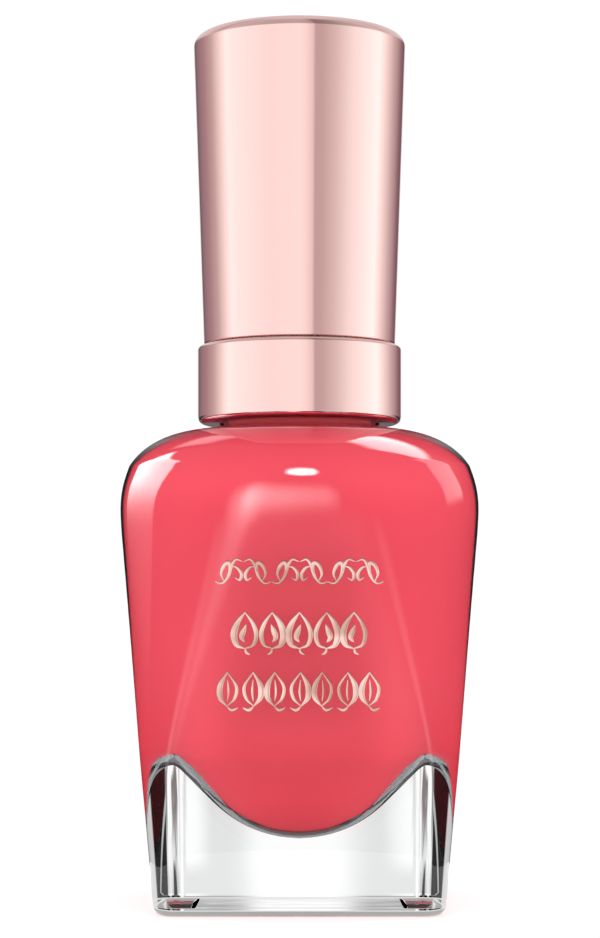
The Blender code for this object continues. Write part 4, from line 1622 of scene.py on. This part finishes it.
@dataclass(frozen=True)
class MetalRoom:
    """What satin metal mirrors: soft boxes all round, dimmer above, with a pale roof.

    Pairs of numbers give where a change starts and where it is done, in degrees.
    """

    level: float = 0.95
    peak: float = 2.0
    around: tuple[tuple[float, Color], ...] = (
        (-180, (1.0, 1.0, 1.0)), (-165, (1.0, 1.0, 1.0)), (-160, (0.16, 0.12, 0.14)),
        (-150, (0.29, 0.22, 0.26)), (-128, (0.48, 0.36, 0.40)), (-112, (0.66, 0.60, 0.60)),
        (-99, (1.05, 1.08, 1.08)), (-87, (1.55, 1.55, 1.55)), (-77, (1.46, 1.46, 1.46)),
        (-32, (1.25, 1.25, 1.26)), (0, (1.30, 1.30, 1.31)), (7, (1.20, 1.20, 1.20)),
        (15, (0.97, 0.96, 0.96)), (17, (0.66, 0.60, 0.61)), (25, (0.68, 0.62, 0.62)),
        (40, (0.86, 0.84, 0.84)), (57, (1.12, 1.20, 1.20)), (76, (1.45, 1.45, 1.45)),
        (97, (1.68, 1.68, 1.68)), (110, (1.12, 1.14, 1.14)), (125, (0.70, 0.66, 0.66)),
        (146, (0.33, 0.20, 0.24)), (160, (0.16, 0.12, 0.14)), (165, (1.0, 1.0, 1.0)),
        (180, (1.0, 1.0, 1.0)),
    )
    dims: Row = (15.0, 26.0)
    dim: float = 0.52
    notch_behind: Row = (125.0, 145.0)
    notch_top: Row = (-0.5, -3.0)
    notch_bottom: Row = (-11.0, -8.0)
    notch: float = 0.8
    roof: Color = (0.80, 0.80, 0.82)
    roof_behind: Row = (80.0, 130.0)
    roof_behind_starts: Row = (13.0, 22.0)
    roof_starts: Row = (60.0, 80.0)

    def view(self, nodes: Nodes, azimuth: Wire, height: Wire) -> Wire:
        """What lies in a direction.

        Args:
            nodes: The world's tree.
            azimuth: The direction's azimuth in degrees.
            height: Its height in degrees.

        Returns:
            The light's colour.
        """
        stops = [((place + 180) / 360, tuple(part / self.peak for part in color))
                 for place, color in self.around]
        ramp = nodes.add("ShaderNodeValToRGB", {"stops": stops}, {"Fac": (azimuth + 180.0) / 360.0})
        behind = nodes.ease(abs(azimuth), *self.notch_behind)
        notch = nodes.ease(height, *self.notch_top) * nodes.ease(height, *self.notch_bottom) * behind
        level = 1.0 - nodes.ease(height, *self.dims, 0.0, self.dim) - notch * self.notch
        boxes = nodes.mix_color(1.0, nodes.out(ramp), nodes.grey(level * self.peak * self.level), "MULTIPLY")
        roof = nodes.ease(height, *self.roof_behind_starts) * nodes.ease(abs(azimuth), *self.roof_behind)
        roof = nodes.math("MAXIMUM", roof, nodes.ease(height, *self.roof_starts))
        return nodes.mix_color(roof, boxes, self.roof)


@dataclass(frozen=True)
class GlassRoom:
    """What the glass mirrors: a few lamps in a dim room."""

    rises: Row = (10.0, 30.0)
    dim: Row = (0.01, 0.12)
    behind: Row = (150.0, 135.0)
    behind_share: float = 0.1
    lamps: tuple[Panel | Oval, ...] = (
        Panel(-143, -95, -1, 45, 3, 27, 3, 8.0),
        Panel(97, 127, 8, 50, 4, 6, 4, 2.2),
        Panel(116, 167, 41, 73, 5, 6, 8, 6.5),
        Panel(-168, -148, 36, 56, 4, 6, 6, 1.4),
        Oval(0.0, 33.5, 0.74, 4.4, 0.4, 25.0),
        Oval(-6.0, 8.0, 11.0, 20.0, 0.2, 5.5),
        Oval(-13.0, 6.0, 16.0, 23.0, 0.0, 4.0),
        Oval(0.0, -13.0, 55.0, 17.0, 0.0, 0.5),
        Oval(-28.0, -11.0, 9.0, 13.0, 0.0, 2.0),
        Oval(28.0, -11.0, 9.0, 13.0, 0.0, 1.8),
    )

    def view(self, nodes: Nodes, azimuth: Wire, height: Wire) -> Wire:
        """What lies in a direction.

        Args:
            nodes: The world's tree.
            azimuth: The direction's azimuth in degrees.
            height: Its height in degrees.

        Returns:
            The light's colour.
        """
        total = nodes.ease(height, *self.rises, *self.dim)
        total = total * nodes.ease(abs(azimuth), *self.behind, self.behind_share, 1.0)
        for lamp in self.lamps:
            total = total + lamp.light(nodes, azimuth, height)
        return nodes.grey(total)


@dataclass(frozen=True)
class Backdrop:
    """What shows through the glass: the same bright card between dark ones behind each of four sides.

    Azimuths count in degrees from the middle of a side, either way. Pairs of numbers give where a change
    starts and where it is done.
    """

    side: float = 45.0
    card: float = 1.04
    black: float = 0.006
    fades: Row = (0.6, 1.8)
    fade: float = 0.24
    deeper_fade: float = 0.4
    fade_deepens: Row = (0.5, 4.0)
    clears: Row = (1.9, 2.6)
    clears_above: Row = (-0.9, -0.2)
    clears_below: Row = (3.5, 1.5)
    corner_starts: Row = (2.8, 3.7)
    corner_rises: Row = (-0.3, 1.2)
    corner: Row = (0.2, 0.85)
    card_ends: Row = (5.6, 4.6)
    streak: float = 0.5
    streak_width: Row = (2.0, 0.6)
    streak_foot: float = 3.6
    streak_foot_height: float = 1.5
    streak_slope: float = 6.0
    streak_starts: Row = (3.6, 5.6)
    streak_below: Row = (3.0, 1.8)
    flank: float = 0.66
    flank_starts: Row = (25.0, 29.0)
    haze: float = 0.8
    haze_rises: Row = (6.0, 8.0)
    sky: float = 0.38
    sky_rises: Row = (9.0, 13.0)

    def view(self, nodes: Nodes, azimuth: Wire, height: Wire) -> Wire:
        """What lies in a direction.

        Args:
            nodes: The world's tree.
            azimuth: The direction's azimuth in degrees.
            height: Its height in degrees.

        Returns:
            The light's colour.
        """
        off = nodes.math("PINGPONG", azimuth, self.side)
        clear = nodes.ease(off, *self.clears) * nodes.ease(height, *self.clears_above)
        clear = clear * nodes.ease(height, *self.clears_below)
        fade = self.fade + nodes.ease(height, *self.fade_deepens) * self.deeper_fade
        card = self.card - nodes.ease(off, *self.fades) * fade * (1.0 - clear)
        corner = nodes.ease(height, *self.corner_rises, *self.corner)
        card = (card - nodes.ease(off, *self.corner_starts) * corner) * nodes.ease(off, *self.card_ends)
        slant = self.streak_foot + (self.streak_foot_height - height) * self.streak_slope
        streak = nodes.ease(abs(off - slant), *self.streak_width) * nodes.ease(off, *self.streak_starts)
        streak = streak * nodes.ease(height, *self.streak_below) * self.streak
        level = card + streak + nodes.ease(off, *self.flank_starts) * self.flank + self.black
        level = level + nodes.ease(height, *self.haze_rises) * (self.haze - level)
        return nodes.grey(level - nodes.ease(height, *self.sky_rises) * (level - self.sky))


@dataclass
class Studio:
    """Camera, floor and surroundings."""

    camera_distance: float = 236.9 * MM
    camera_height: float = 27.5 * MM
    lens: float = 94.41
    sensor: float = 36.0
    shift_x: float = 0.0005
    shift_y: float = 0.1557
    clip: Row = (0.01, 20.0)
    floor_drop: float = 0.02 * MM
    floor_columns: int = 96
    fill: float = 1.51
    fill_from_above: float = 0.15
    paper: float = 1.05

    def build_camera(self) -> None:
        """Set up the level camera."""
        data = bpy.data.cameras.new("camera")
        data.lens, data.sensor_width = self.lens, self.sensor
        data.shift_x, data.shift_y = self.shift_x, self.shift_y
        data.clip_start, data.clip_end = self.clip
        camera = bpy.data.objects.new("camera", data)
        camera.location = (0.0, -self.camera_distance, self.camera_height)
        camera.rotation_euler = (math.pi / 2, 0.0, 0.0)
        bpy.context.scene.collection.objects.link(camera)
        bpy.context.scene.camera = camera

    def build_floor(self) -> None:
        """Lay the floor."""
        finish = PaleFloor()
        angles = np.arange(self.floor_columns) * math.tau / self.floor_columns
        rings = [circle(finish.radius * share, -self.floor_drop, angles) for share in (0.5, 1.0)]
        skin("floor", rings, finish.material(), start=(0.0, 0.0, -self.floor_drop))

    def build_surroundings(self) -> None:
        """Set up the light: even for diffuse surfaces, rooms for gloss and glass, white paper behind."""
        world = bpy.data.worlds.new("studio")
        bpy.context.scene.world = world
        world.use_nodes = True
        nodes = Nodes(world.node_tree)
        x, y, z = nodes.separate(nodes.out(nodes.add("ShaderNodeTexCoord"), "Generated"))
        degrees = 180.0 / math.pi
        azimuth = nodes.math("ARCTAN2", x, 0.0 - y) * degrees
        height = nodes.math("ARCSINE", z) * degrees
        path = nodes.add("ShaderNodeLightPath")
        lit = nodes.math("GREATER_THAN", nodes.out(path, "Diffuse Depth"), 0.5)
        view = nodes.mix_color(nodes.out(path, "Is Singular Ray"), MetalRoom().view(nodes, azimuth, height),
                               GlassRoom().view(nodes, azimuth, height))
        view = nodes.mix_color(nodes.out(path, "Is Transmission Ray"), view,
                               Backdrop().view(nodes, azimuth, height))
        even = nodes.grey((1.0 + z * self.fill_from_above) * self.fill)
        values = {"Color": nodes.mix_color(lit, view, even), "Strength": 1.0}
        light = nodes.out(nodes.add("ShaderNodeBackground", None, values))
        values = {"Color": (1.0, 1.0, 1.0, 1.0), "Strength": self.paper}
        paper = nodes.out(nodes.add("ShaderNodeBackground", None, values))
        seen = nodes.mix_shader(nodes.out(path, "Is Camera Ray"), light, paper)
        nodes.add("ShaderNodeOutputWorld", None, {"Surface": seen})

    def build(self) -> None:
        """Set up the studio."""
        self.build_camera()
        self.build_floor()
        self.build_surroundings()
        bpy.context.scene.view_settings.view_transform = "Standard"
        LOG.info("studio ready")


def main() -> None:
    """Build every sub-assembly in order."""
    logging.basicConfig(level=logging.INFO, format="%(name)s: %(message)s")
    Studio().build()
    flask = Flask()
    flask.build()
    FoilOrnament(flask).build()
    Closure().build()
    Brush().build()


if __name__ == "__main__":
    main()
